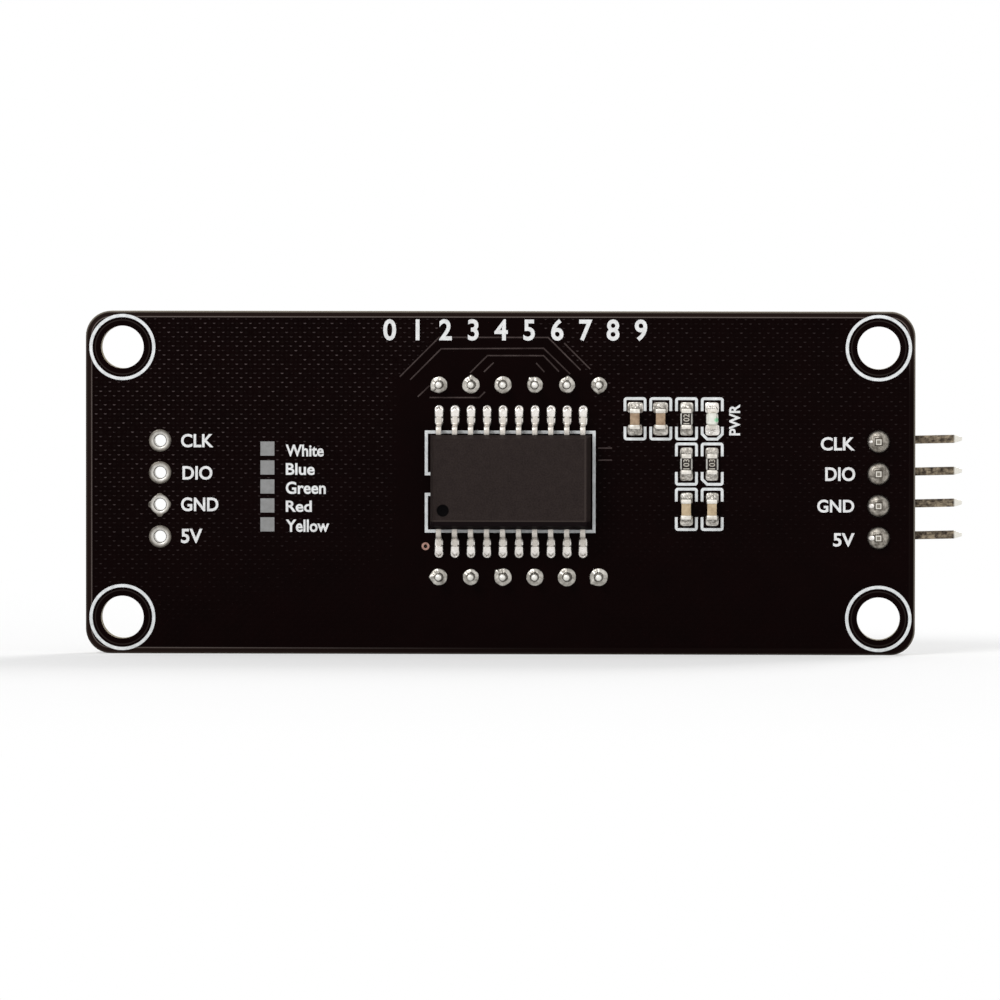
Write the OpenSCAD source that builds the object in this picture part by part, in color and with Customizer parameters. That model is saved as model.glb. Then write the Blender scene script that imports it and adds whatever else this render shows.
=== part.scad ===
// Four-digit seven segment display module.
// Upright: X runs along the board, the digits face -Y, +Z is up.
// The origin is at the centre of the four mounting holes, on the board's front face.
// Solids are drawn flat, with height h out of the board, and stood up by upright().

/* [Board] */
// Length of the circuit board
board_l = 65.8; // [65:0.1:75]
// Height of the circuit board
board_w = 27.2; // [26:0.1:36]
// Thickness of the circuit board
board_t = 1.6; // [0.8:0.1:2.4]
// Radius of the board's corners
corner_r = 2; // [0.5:0.1:3]
// Diameter of the mounting holes
mount_d = 3.4; // [2:0.1:3.6]
// Distance from the board's ends to the mounting holes
mount_inset_x = 2.9; // [2.6:0.1:3.1]
// Distance from the board's long edges to the mounting holes
mount_inset_z = 2.875; // [2.6:0.025:3.2]

/* [Header] */
// Number of header pins
header_n = 4; // [2:1:5]
// Distance between pins
pitch = 2.54; // [2.3:0.01:2.7]
// Width of the square pins
pin_w = 0.64; // [0.4:0.01:0.7]
// Depth of the header block off the board
block_t = 2.54; // [2:0.01:3]
// Chamfer of the header block at each pin
block_chamfer = 0.4; // [0.1:0.05:0.8]
// Reach of the pin tips past the board's end
pin_reach = 3.75; // [2:0.05:12]
// Radius of the pins' bend, at the middle of the pin
bend_r = 0.6; // [0.4:0.05:1]
// Height of the pins' cut ends above the board's rear face
pin_end_h = 0.95; // [0.6:0.05:2]
// Length of the bevel at the pins' cut ends
pin_cut_l = 0.15; // [0.05:0.05:0.25]
// Width of the pins' cut ends inside the bevel
pin_cut_w = 0.5; // [0.3:0.02:0.6]
// Length of the pins' tapered tips
taper_l = 0.65; // [0.2:0.05:1.2]
// Width left at the end of a tapered tip
taper_w = 0.3; // [0.1:0.05:0.38]
// Angle by which the pins lean up from the board's length
pin_lean = 1.3; // [0:0.1:3]
// Height of the header row above the middle of the board
header_z = -0.5; // [-1:0.1:1]
// Distance of the spare holes from the mounting holes beside them
spare_shift = 3; // [2.9:0.1:3.2]
// Diameter of the header and spare holes, as drilled
header_hole_d = 1.05; // [1:0.05:1.2]
// Diameter of the lands round the header and spare holes
header_land_d = 1.78; // [1.4:0.02:2]

/* [Display] */
// Length of the display
display_l = 50.3; // [50:0.1:51]
// Height of the display
display_w = 19; // [18:0.1:20]
// Depth of the display off the board
display_t = 8; // [6:0.1:10]
// Place of the display's middle along the board
display_x = -1.5; // [-1.7:0.1:-0.6]
// Place of the display's middle up the board
display_z = 0.15; // [-0.4:0.05:0.4]
// Bevel round the display's face
display_bevel = 0.3; // [0.1:0.05:0.5]
// Height of a digit
digit_h = 14.2; // [13:0.1:14.6]
// Width of a digit
digit_w = 7.6; // [6.5:0.1:8]
// Distance between digits
digit_pitch = 12.7; // [12:0.1:12.8]
// Width of a light bar
bar_w = 1.75; // [1.2:0.05:2]
// Gap between neighbouring light bars
bar_gap = 0.4; // [0.2:0.05:0.6]
// Lean of the digits
slant = 8; // [0:1:10]
// Diameter of a colon light
colon_d = 1.7; // [1:0.1:2]
// Distance between the colon lights
colon_span = 6; // [4:0.1:8]
// Wall of the display shell round its rear pocket
shell_wall = 1; // [0.6:0.1:1.2]
// Depth of the rear pocket
pocket_t = 2.7; // [2.2:0.1:3.5]
// Thickness of the printed black face
ink_t = 0.05; // [0.03:0.01:0.1]
// Thickness of the carrier board
carrier_t = 1; // [0.6:0.1:1.4]
// Gap between the carrier board and the pocket walls
carrier_gap = 0.15; // [0.05:0.05:0.3]
// Depth of the potting below the shell's rim
potting_drop = 0.2; // [0.1:0.05:0.5]
// Side of a light-emitting die
die_w = 0.35; // [0.2:0.05:0.5]
// Height of a light-emitting die
die_t = 0.25; // [0.1:0.05:0.4]
// Number of display pins in each row
display_pin_n = 6; // [4:1:7]
// Diameter of the display pins
display_pin_d = 0.5; // [0.4:0.05:0.6]
// Distance between the two rows of display pins
pin_row_span = 15.24; // [15:0.02:15.4]
// Diameter of the board's holes for the display pins
display_hole_d = 0.8; // [0.75:0.05:1]
// Diameter of the lands round the display pins
display_land_d = 1.5; // [1.2:0.05:1.8]
// Height of the display pins' ends above the board's rear face
display_pin_end_h = 1.2; // [0.9:0.05:2]

/* [Driver chip] */
// Number of leads in each row
lead_n = 10; // [6:1:10]
// Distance between leads
lead_pitch = 1.27; // [1:0.01:1.28]
// Width of a lead
lead_w = 0.42; // [0.3:0.01:0.55]
// Thickness of a lead
lead_t = 0.25; // [0.15:0.01:0.3]
// Length of a lead's flat shoulder
lead_shoulder = 0.35; // [0.2:0.05:0.45]
// Radius of a lead's bends, at the middle of the lead
lead_bend_r = 0.25; // [0.2:0.01:0.28]
// Angle by which a lead's leg leans out
lead_lean = 8; // [0:1:10]
// Distance over the tips of both rows of leads
lead_span = 10.4; // [10:0.05:10.8]
// Length of the chip's moulded body
driver_l = 12.7; // [12.4:0.05:13]
// Width of the chip's moulded body
driver_w = 7.45; // [7.2:0.05:7.7]
// Thickness of the chip's moulded body
driver_t = 2.3; // [1.8:0.05:2.6]
// Gap between the chip's body and the board
driver_standoff = 0.12; // [0.11:0.01:0.25]
// Draft of the chip's faces at top and bottom
driver_draft = 0.28; // [0.1:0.02:0.4]
// Diameter of the mark at the chip's first lead
dimple_d = 1; // [0.6:0.05:1.4]
// Depth of the mark at the chip's first lead
dimple_depth = 0.08; // [0.03:0.01:0.15]
// Distance of that mark from the chip's end
dimple_inset_x = 1.02; // [1:0.02:2]
// Distance of that mark from the chip's long edge
dimple_inset_z = 1.48; // [1:0.02:2]
// Place of the chip's middle along the board
driver_x = -0.88; // [-1.4:0.02:-0.4]
// Place of the chip's middle up the board
driver_z = 0.1; // [-0.2:0.05:0.3]
// Distance over the solder of both rows of leads
lead_land_span = 12.2; // [11.8:0.05:12.4]
// Length of the solder at a lead
lead_land_l = 1.8; // [1.6:0.05:2]
// Width of the solder at a lead
lead_land_w = 0.72; // [0.6:0.02:0.8]

/* [Small parts] */
// Length of a capacitor, resistor or light
chip_l = 1.6; // [1.5:0.05:1.7]
// Width of a capacitor, resistor or light
chip_w = 0.8; // [0.7:0.02:0.9]
// Height of a capacitor
capacitor_h = 0.8; // [0.5:0.05:0.9]
// Height of a resistor
resistor_h = 0.45; // [0.35:0.05:0.6]
// Height of the power light's base
light_base_h = 0.3; // [0.25:0.05:0.4]
// Height of the power light's lens
light_lens_h = 0.35; // [0.2:0.05:0.5]
// Draft of the power light's lens
lens_draft = 0.06; // [0.02:0.01:0.12]
// Length of a tinned end
end_l = 0.33; // [0.2:0.01:0.4]
// Thickness of a tinned end
end_t = 0.03; // [0.02:0.01:0.05]
// Thickness of a resistor's glaze
glaze_t = 0.02; // [0.01:0.01:0.03]
// Length over the solder of a small part
chip_land_span = 2.66; // [2.4:0.02:2.8]
// Width of the solder of a small part
chip_land_w = 1.05; // [0.95:0.01:1.2]
// Distance between small parts side by side
chip_pitch_x = 2.04; // [1.9:0.01:2.2]
// Distance between small parts one above the other
chip_pitch_z = 3.585; // [3.5:0.01:3.7]
// Place of the small part nearest the chip, along the board
chips_x = -10.7; // [-11:0.05:-10.4]
// Place of the upper row of small parts
chips_z = 5.1; // [4.9:0.05:5.4]

/* [Lands and print] */
// Thickness of the tinned lands on the board
land_t = 0.04; // [0.02:0.01:0.05]
// Thickness of the plating in the spare holes and the via
plating_t = 0.05; // [0.03:0.01:0.08]
// Collar of solder left round the top of a joint
solder_collar = 0.04; // [0.01:0.01:0.08]
// Height of the solder at the header pins
header_solder_h = 0.7; // [0.4:0.05:0.8]
// Height of the solder at the display pins
display_solder_h = 0.9; // [0.5:0.05:1.1]
// Thickness of the solder under leads and small parts
solder_t = 0.06; // [0.05:0.01:0.1]
// Thickness of the printed marks
print_t = 0.03; // [0.02:0.01:0.05]
// Radius of the rings round the mounting holes
ring_r = 2.5; // [2.2:0.05:2.6]
// Width of the rings' line
ring_line = 0.3; // [0.2:0.02:0.4]
// Length of the chip's outline
outline_l = 13.54; // [13.3:0.02:13.8]
// Height of the chip's outline
outline_w = 8.17; // [8.05:0.02:8.3]
// Width of the outlines' line
outline_line = 0.26; // [0.2:0.02:0.3]
// Gap in the chip's outline
outline_gap = 1.6; // [1:0.1:2]
// Width of the brackets round a small part
bracket_l = 1.79; // [1.66:0.01:1.8]
// Height of the pair of brackets round a small part
bracket_w = 3.38; // [3.3:0.01:3.4]
// Gap between the two brackets
bracket_gap = 1.22; // [0.8:0.02:1.6]
// Side of a legend square
legend_w = 1.12; // [0.8:0.02:1.3]
// Distance between legend squares
legend_pitch = 1.505; // [1.4:0.005:1.7]
// Number of legend squares
legend_n = 5; // [3:1:6]
// Place of the legend squares along the board
legend_x = 18.47; // [17:0.05:20]
// Place of the legend's middle up the board
legend_z = -0.33; // [-1:0.05:1]
// Diameter of the via's ring
via_d = 0.62; // [0.5:0.02:0.8]
// Diameter of the via's hole
via_hole_d = 0.3; // [0.2:0.02:0.35]
// Place of the via along the board
via_x = 5.91; // [5.8:0.05:7]
// Place of the via up the board
via_z = -5.04; // [-5.4:0.02:-4.8]

/* [Hidden] */
$fn = 48;
through = 1; // how far a cutter runs past the face it cuts
arc_steps = 6; // straight steps in a small bend or bulge

// Heights are taken from the board's front face, the display's side being below it
face_h = -(display_t - ink_t); // the shell's front face
bars_h = -pocket_t; // the pocket's floor, where the light bars end
potting_h = bars_h + carrier_t;
pin_h = -(block_t + bend_r); // the run of the header pins

// Places from the middle of the mounting holes
digit_n = 4;
mount_x = board_l/2 - mount_inset_x;
mount_z = board_w/2 - mount_inset_z;
header_x = -mount_x;
spare_x = mount_x - spare_shift;
spare_hole_d = header_hole_d - 2*plating_t; // the board's wall there counts the plating in

// Column and row of each small part in the block beside the chip
capacitor_at = [[0, 0], [1, 0], [2, 2], [3, 2]];
resistor_at = [[2, 0], [2, 1], [3, 1]];
light_at = [3, 0];
capacitor_n = len(capacitor_at);
resistor_n = len(resistor_at);
pin_names = ["clk", "dio", "gnd", "5v", "spare"];

// Stands a flat drawing up: drawing Y becomes Z, and height becomes Y
module upright() {
    mirror([0, 1, 0]) rotate([90, 0, 0]) children();
}

// Places of the four mounting holes, in the drawing
mount_places = [for (sx = [-1, 1], sz = [-1, 1]) [sx*mount_x, sz*mount_z]];

// Height of pin i of the header row, counted from the top
function header_pin_z(i) = header_z + ((header_n - 1)/2 - i)*pitch;

// Place of display pin i, counted along the lower row and then the upper row
function display_pin_place(i) = [
    display_x + (i % display_pin_n - (display_pin_n - 1)/2)*pitch,
    display_z + (i < display_pin_n ? -1 : 1)*pin_row_span/2
];
display_pin_places = [for (i = [0:2*display_pin_n - 1]) display_pin_place(i)];

// Place of a small part from its column and row
function chip_place(at) = [chips_x - at[0]*chip_pitch_x, chips_z - at[1]*chip_pitch_z];
chip_places = [for (at = concat(capacitor_at, resistor_at, [light_at])) chip_place(at)];

// Points of an arc about a centre
function arc(c, r, from, to) = [
    for (i = [0:arc_steps])
        let (a = from + (to - from)*i/arc_steps)
            c + r*[cos(a), sin(a)]
];

// Points of a quarter bulge that starts at a corner, a wide and b high
function bulge(corner, a, b) = [
    for (i = [0:arc_steps]) corner + [a*cos(90*i/arc_steps), b*sin(90*i/arc_steps)]
];

module box_on(size, h = 0) {
    translate([-size[0]/2, -size[1]/2, h]) cube(size);
}

module rounded_plate(l, w, t, r) {
    box_on([l - 2*r, w, t]);
    box_on([l, w - 2*r, t]);
    for (sx = [-1, 1], sy = [-1, 1])
        translate([sx*(l/2 - r), sy*(w/2 - r), 0]) cylinder(r = r, h = t);
}

// Block with a straight band of height band at height mid, and faces that draw in by draft
module drafted_block(l, w, low, high, mid, band, draft) {
    intersection() {
        drafted_profile(l, w, low, high, mid, band, draft);
        rotate([0, 0, 90]) drafted_profile(w, l, low, high, mid, band, draft);
    }
}

module drafted_profile(l, w, low, high, mid, band, draft) {
    half = [
        [l/2 - draft, low], [l/2, mid - band/2], [l/2, mid + band/2], [l/2 - draft, high]
    ];
    other_half = [for (i = [3:-1:0]) [-half[i][0], half[i][1]]];
    stood_profile(w) polygon(concat(half, other_half));
}

module circuit_board() {
    color([0.07, 0.05, 0.05]) upright() difference() {
        rounded_plate(board_l, board_w, board_t, corner_r);
        for (p = mount_places) board_hole(p, mount_d);
        for (i = [0:header_n - 1]) {
            board_hole([header_x, header_pin_z(i)], header_hole_d);
            board_hole([spare_x, header_pin_z(i)], spare_hole_d);
        }
        for (p = display_pin_places) board_hole(p, display_hole_d);
        board_hole([via_x, via_z], via_hole_d + 2*plating_t);
    }
}

module board_hole(p, d) {
    translate([p[0], p[1], -through]) cylinder(d = d, h = board_t + 2*through);
}

// Flat ring on each face of the board, round a hole
module face_rings(bore_d, ring_d) {
    for (h = [-land_t, board_t]) translate([0, 0, h]) difference() {
        cylinder(d = ring_d, h = land_t);
        translate([0, 0, -through]) cylinder(d = bore_d, h = land_t + 2*through);
    }
}

module spare_lands() {
    color([0.75, 0.74, 0.72]) upright() for (i = [0:header_n - 1])
        translate([spare_x, header_pin_z(i), 0]) face_rings(spare_hole_d, header_land_d);
}

// Lining of the via's hole, with a ring on each face of the board
module via_land() {
    color([0.7, 0.5, 0.42]) upright() translate([via_x, via_z, 0]) {
        face_rings(via_hole_d, via_d);
        difference() {
            cylinder(d = via_hole_d + 2*plating_t, h = board_t);
            translate([0, 0, -through]) cylinder(d = via_hole_d, h = board_t + 2*through);
        }
    }
}

// Printed ring round each mounting hole
module mount_rings() {
    for (p = mount_places) translate([p[0], p[1], 0]) difference() {
        cylinder(r = ring_r + ring_line/2, h = print_t);
        translate([0, 0, -through]) cylinder(r = ring_r - ring_line/2, h = print_t + 2*through);
    }
}

module frame_line(l, w) {
    difference() {
        box_on([l, w, print_t]);
        box_on([l - 2*outline_line, w - 2*outline_line, print_t + 2*through], -through);
    }
}

module rear_print() {
    color([0.87, 0.89, 0.9]) upright() translate([0, 0, board_t]) {
        mount_rings();
        driver_outline();
        for (p = chip_places) translate([p[0], p[1], 0]) brackets();
        for (i = [0:legend_n - 1])
            translate([legend_x, legend_z + (i - (legend_n - 1)/2)*legend_pitch, 0])
                box_on([legend_w, legend_w, print_t]);
    }
}

// Outline of the driver chip, open where the notched end of the chip lies
module driver_outline() {
    translate([driver_x, driver_z, 0]) {
        difference() {
            frame_line(outline_l, outline_w);
            translate([outline_l/2, 0, -through])
                box_on([4*outline_line, outline_gap, print_t + 2*through]);
        }
        // A short tick turns in on each side of the opening
        for (s = [-1, 1])
            translate([outline_l/2 - 1.5*outline_line, s*(outline_gap + outline_line)/2, 0])
                box_on([outline_line, outline_line, print_t]);
    }
}

module brackets() {
    difference() {
        frame_line(bracket_l, bracket_w);
        box_on([bracket_l + 2*through, bracket_gap, print_t + 2*through], -through);
    }
}

module front_print() {
    color([0.87, 0.89, 0.9]) upright() translate([0, 0, -print_t]) mount_rings();
}

module driver_body() {
    mid = driver_standoff + driver_t/2;
    top = driver_standoff + driver_t;
    color([0.16, 0.14, 0.14]) upright() translate([driver_x, driver_z, board_t]) difference() {
        drafted_block(driver_l, driver_w, driver_standoff, top, mid, lead_t, driver_draft);
        // The first lead is at the end of the lower row that is far from the small parts
        translate([driver_l/2 - dimple_inset_x, -driver_w/2 + dimple_inset_z, top - dimple_depth])
            cylinder(d = dimple_d, h = through);
    }
}

// Extrudes a profile of distance up the board and height over a width
module lengthwise(w) {
    rotate([90, 0, 90]) translate([0, 0, -w/2]) linear_extrude(w) children();
}

// One gull-wing lead, in the plane of distance from the chip's middle and height
module driver_lead() {
    lean = lead_lean;
    r = lead_bend_r;
    h_top = driver_standoff + driver_t/2;
    h_foot = solder_t + lead_t/2;
    drop = h_top - h_foot - 2*r*(1 - sin(lean));
    shoulder = driver_w/2 + lead_shoulder;
    foot = shoulder + 2*r*cos(lean) + drop*tan(lean);
    c1 = [shoulder, h_top - r];
    c2 = [foot, h_foot + r];
    outline = concat(
        [[driver_w/2, h_top + lead_t/2]],
        arc(c1, r + lead_t/2, 90, lean),
        arc(c2, r - lead_t/2, 180 + lean, 270),
        [[lead_span/2, h_foot + lead_t/2], [lead_span/2, h_foot - lead_t/2]],
        arc(c2, r + lead_t/2, 270, 180 + lean),
        arc(c1, r - lead_t/2, lean, 90),
        [[driver_w/2, h_top - lead_t/2]]
    );
    lengthwise(lead_w) polygon(outline);
}

// Row of leads, with side 1 above the chip and -1 below it
module driver_leads(side) {
    color([0.78, 0.77, 0.74]) upright() translate([driver_x, driver_z, board_t])
        lead_row(side) driver_lead();
}

module lead_row(side) {
    for (i = [0:lead_n - 1]) translate([(i - (lead_n - 1)/2)*lead_pitch, 0, 0])
        if (side > 0) children();
        else mirror([0, 1, 0]) children();
}

// Solder under a lead's foot, with a bulge in front of its tip
module lead_solder() {
    outer = lead_land_span/2;
    inner = outer - lead_land_l;
    r = lead_land_w/2;
    translate([0, (inner + outer - r)/2, 0]) box_on([lead_land_w, outer - r - inner, solder_t]);
    translate([0, outer - r, 0]) cylinder(r = r, h = solder_t);
    tip = [lead_span/2, solder_t];
    profile = concat([tip], bulge(tip, outer - r/2 - lead_span/2, lead_t));
    w = (lead_land_w + lead_w)/2;
    lengthwise(w) polygon(profile);
}

module driver_solder() {
    color([0.86, 0.85, 0.82]) upright() translate([driver_x, driver_z, board_t])
        for (side = [-1, 1]) lead_row(side) lead_solder();
}

// One pin: a leg through the board and block, a bend, and a run past the board's end
module header_pin_solid() {
    lean_up() {
        translate([0, 0, -block_t]) tapered_bar(block_t + board_t + pin_end_h, pin_cut_l, pin_cut_w);
        translate([-bend_r, 0, -block_t]) rotate([90, 0, 0]) rotate([0, 0, -90])
            rotate_extrude(angle = 90) translate([bend_r, 0]) square(pin_w, center = true);
        translate([-bend_r, 0, pin_h]) rotate([0, -90, 0])
            tapered_bar(mount_inset_x + pin_reach - bend_r, taper_l, taper_w);
    }
}

module lean_up() {
    rotate([0, 0, -pin_lean]) children();
}

// Square bar of length l along the height, with a tapered end
module tapered_bar(l, taper, end_w) {
    profile = [
        [-pin_w/2, 0], [pin_w/2, 0], [pin_w/2, l - taper], [end_w/2, l],
        [-end_w/2, l], [-pin_w/2, l - taper]
    ];
    intersection() {
        stood_profile(pin_w) polygon(profile);
        rotate([0, 0, 90]) stood_profile(pin_w) polygon(profile);
    }
}

// Extrudes a profile of width and height over a depth about the middle
module stood_profile(depth) {
    translate([0, depth/2, 0]) rotate([90, 0, 0]) linear_extrude(depth) children();
}

module header_pin(i) {
    color([0.8, 0.76, 0.68]) upright() translate([header_x, header_pin_z(i), 0]) header_pin_solid();
}

module header_block() {
    color([0.1, 0.1, 0.1]) upright() difference() {
        for (i = [0:header_n - 1]) translate([header_x, header_pin_z(i), -block_t]) block_cell();
        for (i = [0:header_n - 1]) translate([header_x, header_pin_z(i), -block_t/2]) lean_up()
            box_on([pin_w, pin_w, block_t + 2*through], -block_t/2 - through);
    }
}

// One place of the header block, with its four upright corners cut
module block_cell() {
    a = pitch/2;
    b = pitch/2 - block_chamfer;
    linear_extrude(block_t)
        polygon([[-a, -b], [-b, -a], [b, -a], [a, -b], [a, b], [b, a], [-b, a], [-a, b]]);
}

// Solder of a pin: a plug in its hole, and a rounded cone over the land
module solder_joint(hole_d, land_d, top_d, h) {
    profile = concat(
        [[0, 0], [hole_d/2, 0], [hole_d/2, board_t]],
        bulge([top_d/2, board_t], (land_d - top_d)/2, h),
        [[0, board_t + h]]
    );
    rotate_extrude() polygon(profile);
}

module header_solder() {
    color([0.62, 0.6, 0.57]) upright() for (i = [0:header_n - 1]) translate([header_x, header_pin_z(i), 0])
        difference() {
            solder_joint(header_hole_d, header_land_d, pin_w*sqrt(2) + 2*solder_collar, header_solder_h);
            lean_up() box_on([pin_w, pin_w, board_t + header_solder_h + 2*through], -through);
        }
}

module display_pin(i) {
    h = pocket_t + board_t + display_pin_end_h;
    p = display_pin_place(i - 1);
    color([0.8, 0.79, 0.77]) upright() translate([p[0], p[1], bars_h])
        cylinder(d = display_pin_d, h = h);
}

module display_solder() {
    color([0.7, 0.69, 0.66]) upright() for (p = display_pin_places) translate([p[0], p[1], 0])
        difference() {
            solder_joint(display_hole_d, display_land_d, display_pin_d + 2*solder_collar, display_solder_h);
            translate([0, 0, -through])
                cylinder(d = display_pin_d, h = board_t + display_solder_h + 2*through);
        }
}

// Middle of digit i along the display, counted from the left as it is read
function digit_x(i) = display_x + (i - (digit_n + 1)/2)*digit_pitch;

// A point of a digit, leaned over with the digit
function leaned(p) = [p[0] + p[1]*tan(slant), p[1]];

// Outlines of the light bars, each with its mitred ends set back by half the gap
mitre = bar_gap/sqrt(2);
bar_top = [
    [-digit_w/2 + mitre, digit_h/2], [digit_w/2 - mitre, digit_h/2],
    [digit_w/2 - bar_w - mitre, digit_h/2 - bar_w], [-digit_w/2 + bar_w + mitre, digit_h/2 - bar_w]
];
bar_side = [
    [digit_w/2, digit_h/2 - mitre], [digit_w/2, bar_gap/2],
    [digit_w/2 - bar_w/2 + mitre - bar_gap/2, bar_gap/2],
    [digit_w/2 - bar_w, bar_w/2 + mitre], [digit_w/2 - bar_w, digit_h/2 - bar_w - mitre]
];
middle_flat = digit_w/2 - bar_w - mitre;
middle_tip = digit_w/2 - bar_w/2 - mitre;
bar_middle = [
    [-middle_flat, bar_w/2], [middle_flat, bar_w/2], [middle_tip, 0],
    [middle_flat, -bar_w/2], [-middle_flat, -bar_w/2], [-middle_tip, 0]
];
bar_outlines = concat(
    [for (s = [1, -1]) [for (p = bar_top) [p[0], s*p[1]]]],
    [for (sx = [1, -1], sz = [1, -1]) [for (p = bar_side) [sx*p[0], sz*p[1]]]],
    [bar_middle]
);
// Middle of each light bar, where its die sits
bar_middles = concat(
    [for (s = [1, -1]) [0, s*(digit_h - bar_w)/2]],
    [for (sx = [1, -1], sz = [1, -1]) [sx*(digit_w - bar_w)/2, sz*digit_h/4]],
    [[0, 0]]
);

// The seven bars of a digit, from height low to height high
module digit_bars(low, high) {
    for (outline = bar_outlines)
        translate([0, 0, low]) linear_extrude(high - low) polygon([for (p = outline) leaned(p)]);
}

// The two lights of the colon, from height low to height high
module colon_pair(low, high, d) {
    for (s = [1, -1]) {
        p = leaned([0, s*colon_span/2]);
        translate([p[0], p[1], low]) cylinder(d = d, h = high - low);
    }
}

// Everything that shines through the face, from height low to height high
module all_lights(low, high) {
    for (i = [1:digit_n]) translate([digit_x(i), display_z, 0]) digit_bars(low, high);
    translate([display_x, display_z, 0]) colon_pair(low, high, colon_d);
}

module display_shell() {
    color([0.86, 0.86, 0.84]) upright() difference() {
        translate([display_x, display_z, 0]) shell_block();
        translate([display_x, display_z, bars_h])
            box_on([display_l - 2*shell_wall, display_w - 2*shell_wall, pocket_t + through]);
        all_lights(face_h - through, 0);
    }
}

// Outer block of the display, with a bevel round its face
module shell_block() {
    intersection() {
        shell_profile(display_l, display_w);
        rotate([0, 0, 90]) shell_profile(display_w, display_l);
    }
}

module shell_profile(l, w) {
    b = display_bevel;
    stood_profile(w) polygon([
        [-l/2, 0], [-l/2, face_h + b], [-l/2 + b, face_h],
        [l/2 - b, face_h], [l/2, face_h + b], [l/2, 0]
    ]);
}

module display_face() {
    l = display_l - 2*display_bevel;
    w = display_w - 2*display_bevel;
    color([0.05, 0.05, 0.055]) upright() difference() {
        translate([display_x, display_z, -display_t]) box_on([l, w, ink_t]);
        all_lights(-display_t - through, face_h + through);
    }
}

// Bars of digit i, cast in their wells, with a hollow at the rear for each die
module light_bars(i) {
    color([0.9, 0.88, 0.84]) upright() translate([digit_x(i), display_z, 0]) difference() {
        digit_bars(-display_t, bars_h);
        dies(bar_middles, bars_h - die_t, die_t + through);
    }
}

module colon_lights() {
    color([0.9, 0.88, 0.84]) upright() translate([display_x, display_z, 0]) difference() {
        colon_pair(-display_t, bars_h, colon_d);
        dies(colon_middles, bars_h - die_t, die_t + through);
    }
}

colon_middles = [for (s = [1, -1]) [0, s*colon_span/2]];

module dies(middles, low, h) {
    for (m = middles) {
        p = leaned(m);
        translate([p[0], p[1], low]) box_on([die_w, die_w, h]);
    }
}

module led_dies() {
    color([0.75, 0.7, 0.35]) upright() {
        for (i = [1:digit_n])
            translate([digit_x(i), display_z, 0]) dies(bar_middles, bars_h - die_t, die_t);
        translate([display_x, display_z, 0]) dies(colon_middles, bars_h - die_t, die_t);
    }
}

module carrier_board() {
    l = display_l - 2*shell_wall - 2*carrier_gap;
    w = display_w - 2*shell_wall - 2*carrier_gap;
    color([0.35, 0.45, 0.3]) upright() difference() {
        translate([display_x, display_z, bars_h]) box_on([l, w, carrier_t]);
        for (p = display_pin_places) translate([p[0], p[1], bars_h - through])
            cylinder(d = display_pin_d, h = carrier_t + 2*through);
    }
}

module potting() {
    l = display_l - 2*shell_wall;
    w = display_w - 2*shell_wall;
    color([0.8, 0.76, 0.66]) upright() difference() {
        translate([display_x, display_z, potting_h]) box_on([l, w, -potting_h - potting_drop]);
        for (p = display_pin_places) translate([p[0], p[1], potting_h - through])
            cylinder(d = display_pin_d, h = pocket_t + 2*through);
    }
}

// Stands a small part on its solder, at its column and row
module at_chip(at) {
    p = chip_place(at);
    upright() translate([p[0], p[1], board_t + solder_t]) children();
}

// Ceramic of a small part, which its tinned ends wrap
module chip_core(h) {
    box_on([chip_w - 2*end_t, chip_l - 2*end_t, h - 2*end_t], end_t);
}

module chip_ends(h) {
    difference() {
        for (s = [-1, 1]) translate([0, s*(chip_l - end_l)/2, 0]) box_on([chip_w, end_l, h]);
        chip_core(h);
    }
}

module capacitor(i) {
    color([0.68, 0.55, 0.42]) at_chip(capacitor_at[i - 1]) chip_core(capacitor_h);
}

module capacitor_ends(i) {
    color([0.85, 0.84, 0.82]) at_chip(capacitor_at[i - 1]) chip_ends(capacitor_h);
}

module resistor(i) {
    color([0.88, 0.87, 0.84]) at_chip(resistor_at[i - 1]) chip_core(resistor_h);
}

module resistor_glaze(i) {
    color([0.2, 0.19, 0.18]) at_chip(resistor_at[i - 1])
        box_on([chip_w - 2*end_t, chip_l - 2*end_l, glaze_t], resistor_h - end_t);
}

module resistor_ends(i) {
    color([0.85, 0.84, 0.82]) at_chip(resistor_at[i - 1]) chip_ends(resistor_h);
}

module power_light_base() {
    color([0.8, 0.86, 0.78]) at_chip(light_at) chip_core(light_base_h);
}

module power_light_ends() {
    color([0.85, 0.84, 0.82]) at_chip(light_at) chip_ends(light_base_h);
}

module power_light_lens() {
    l = chip_l - 2*end_l;
    w = chip_w - 2*end_t;
    h = light_base_h - end_t;
    color([0.85, 0.95, 0.86]) at_chip(light_at)
        drafted_block(w, l, h, h + light_lens_h, h + light_lens_h/4, light_lens_h/2, lens_draft);
}

// Solder at both ends of each small part: a slab under the end and a slope outside it
module small_part_solder() {
    slab_l = chip_land_span/2 - chip_l/2 + end_l;
    color([0.75, 0.74, 0.71]) upright() for (i = [0:len(chip_places) - 1])
        translate([chip_places[i][0], chip_places[i][1], board_t]) for (s = [-1, 1]) {
            translate([0, s*(chip_land_span - slab_l)/2, 0]) box_on([chip_land_w, slab_l, solder_t]);
            mirror([0, s < 0 ? 1 : 0, 0]) end_slope();
        }
}

// Slope of solder up a tinned end, no higher than the lowest small part
module end_slope() {
    reach = (chip_land_span - chip_l)/2;
    rise = min(capacitor_h, resistor_h, light_base_h) - end_t;
    foot = [chip_l/2, solder_t];
    lengthwise(chip_land_w) polygon(concat([foot], bulge(foot, reach, rise)));
}

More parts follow.
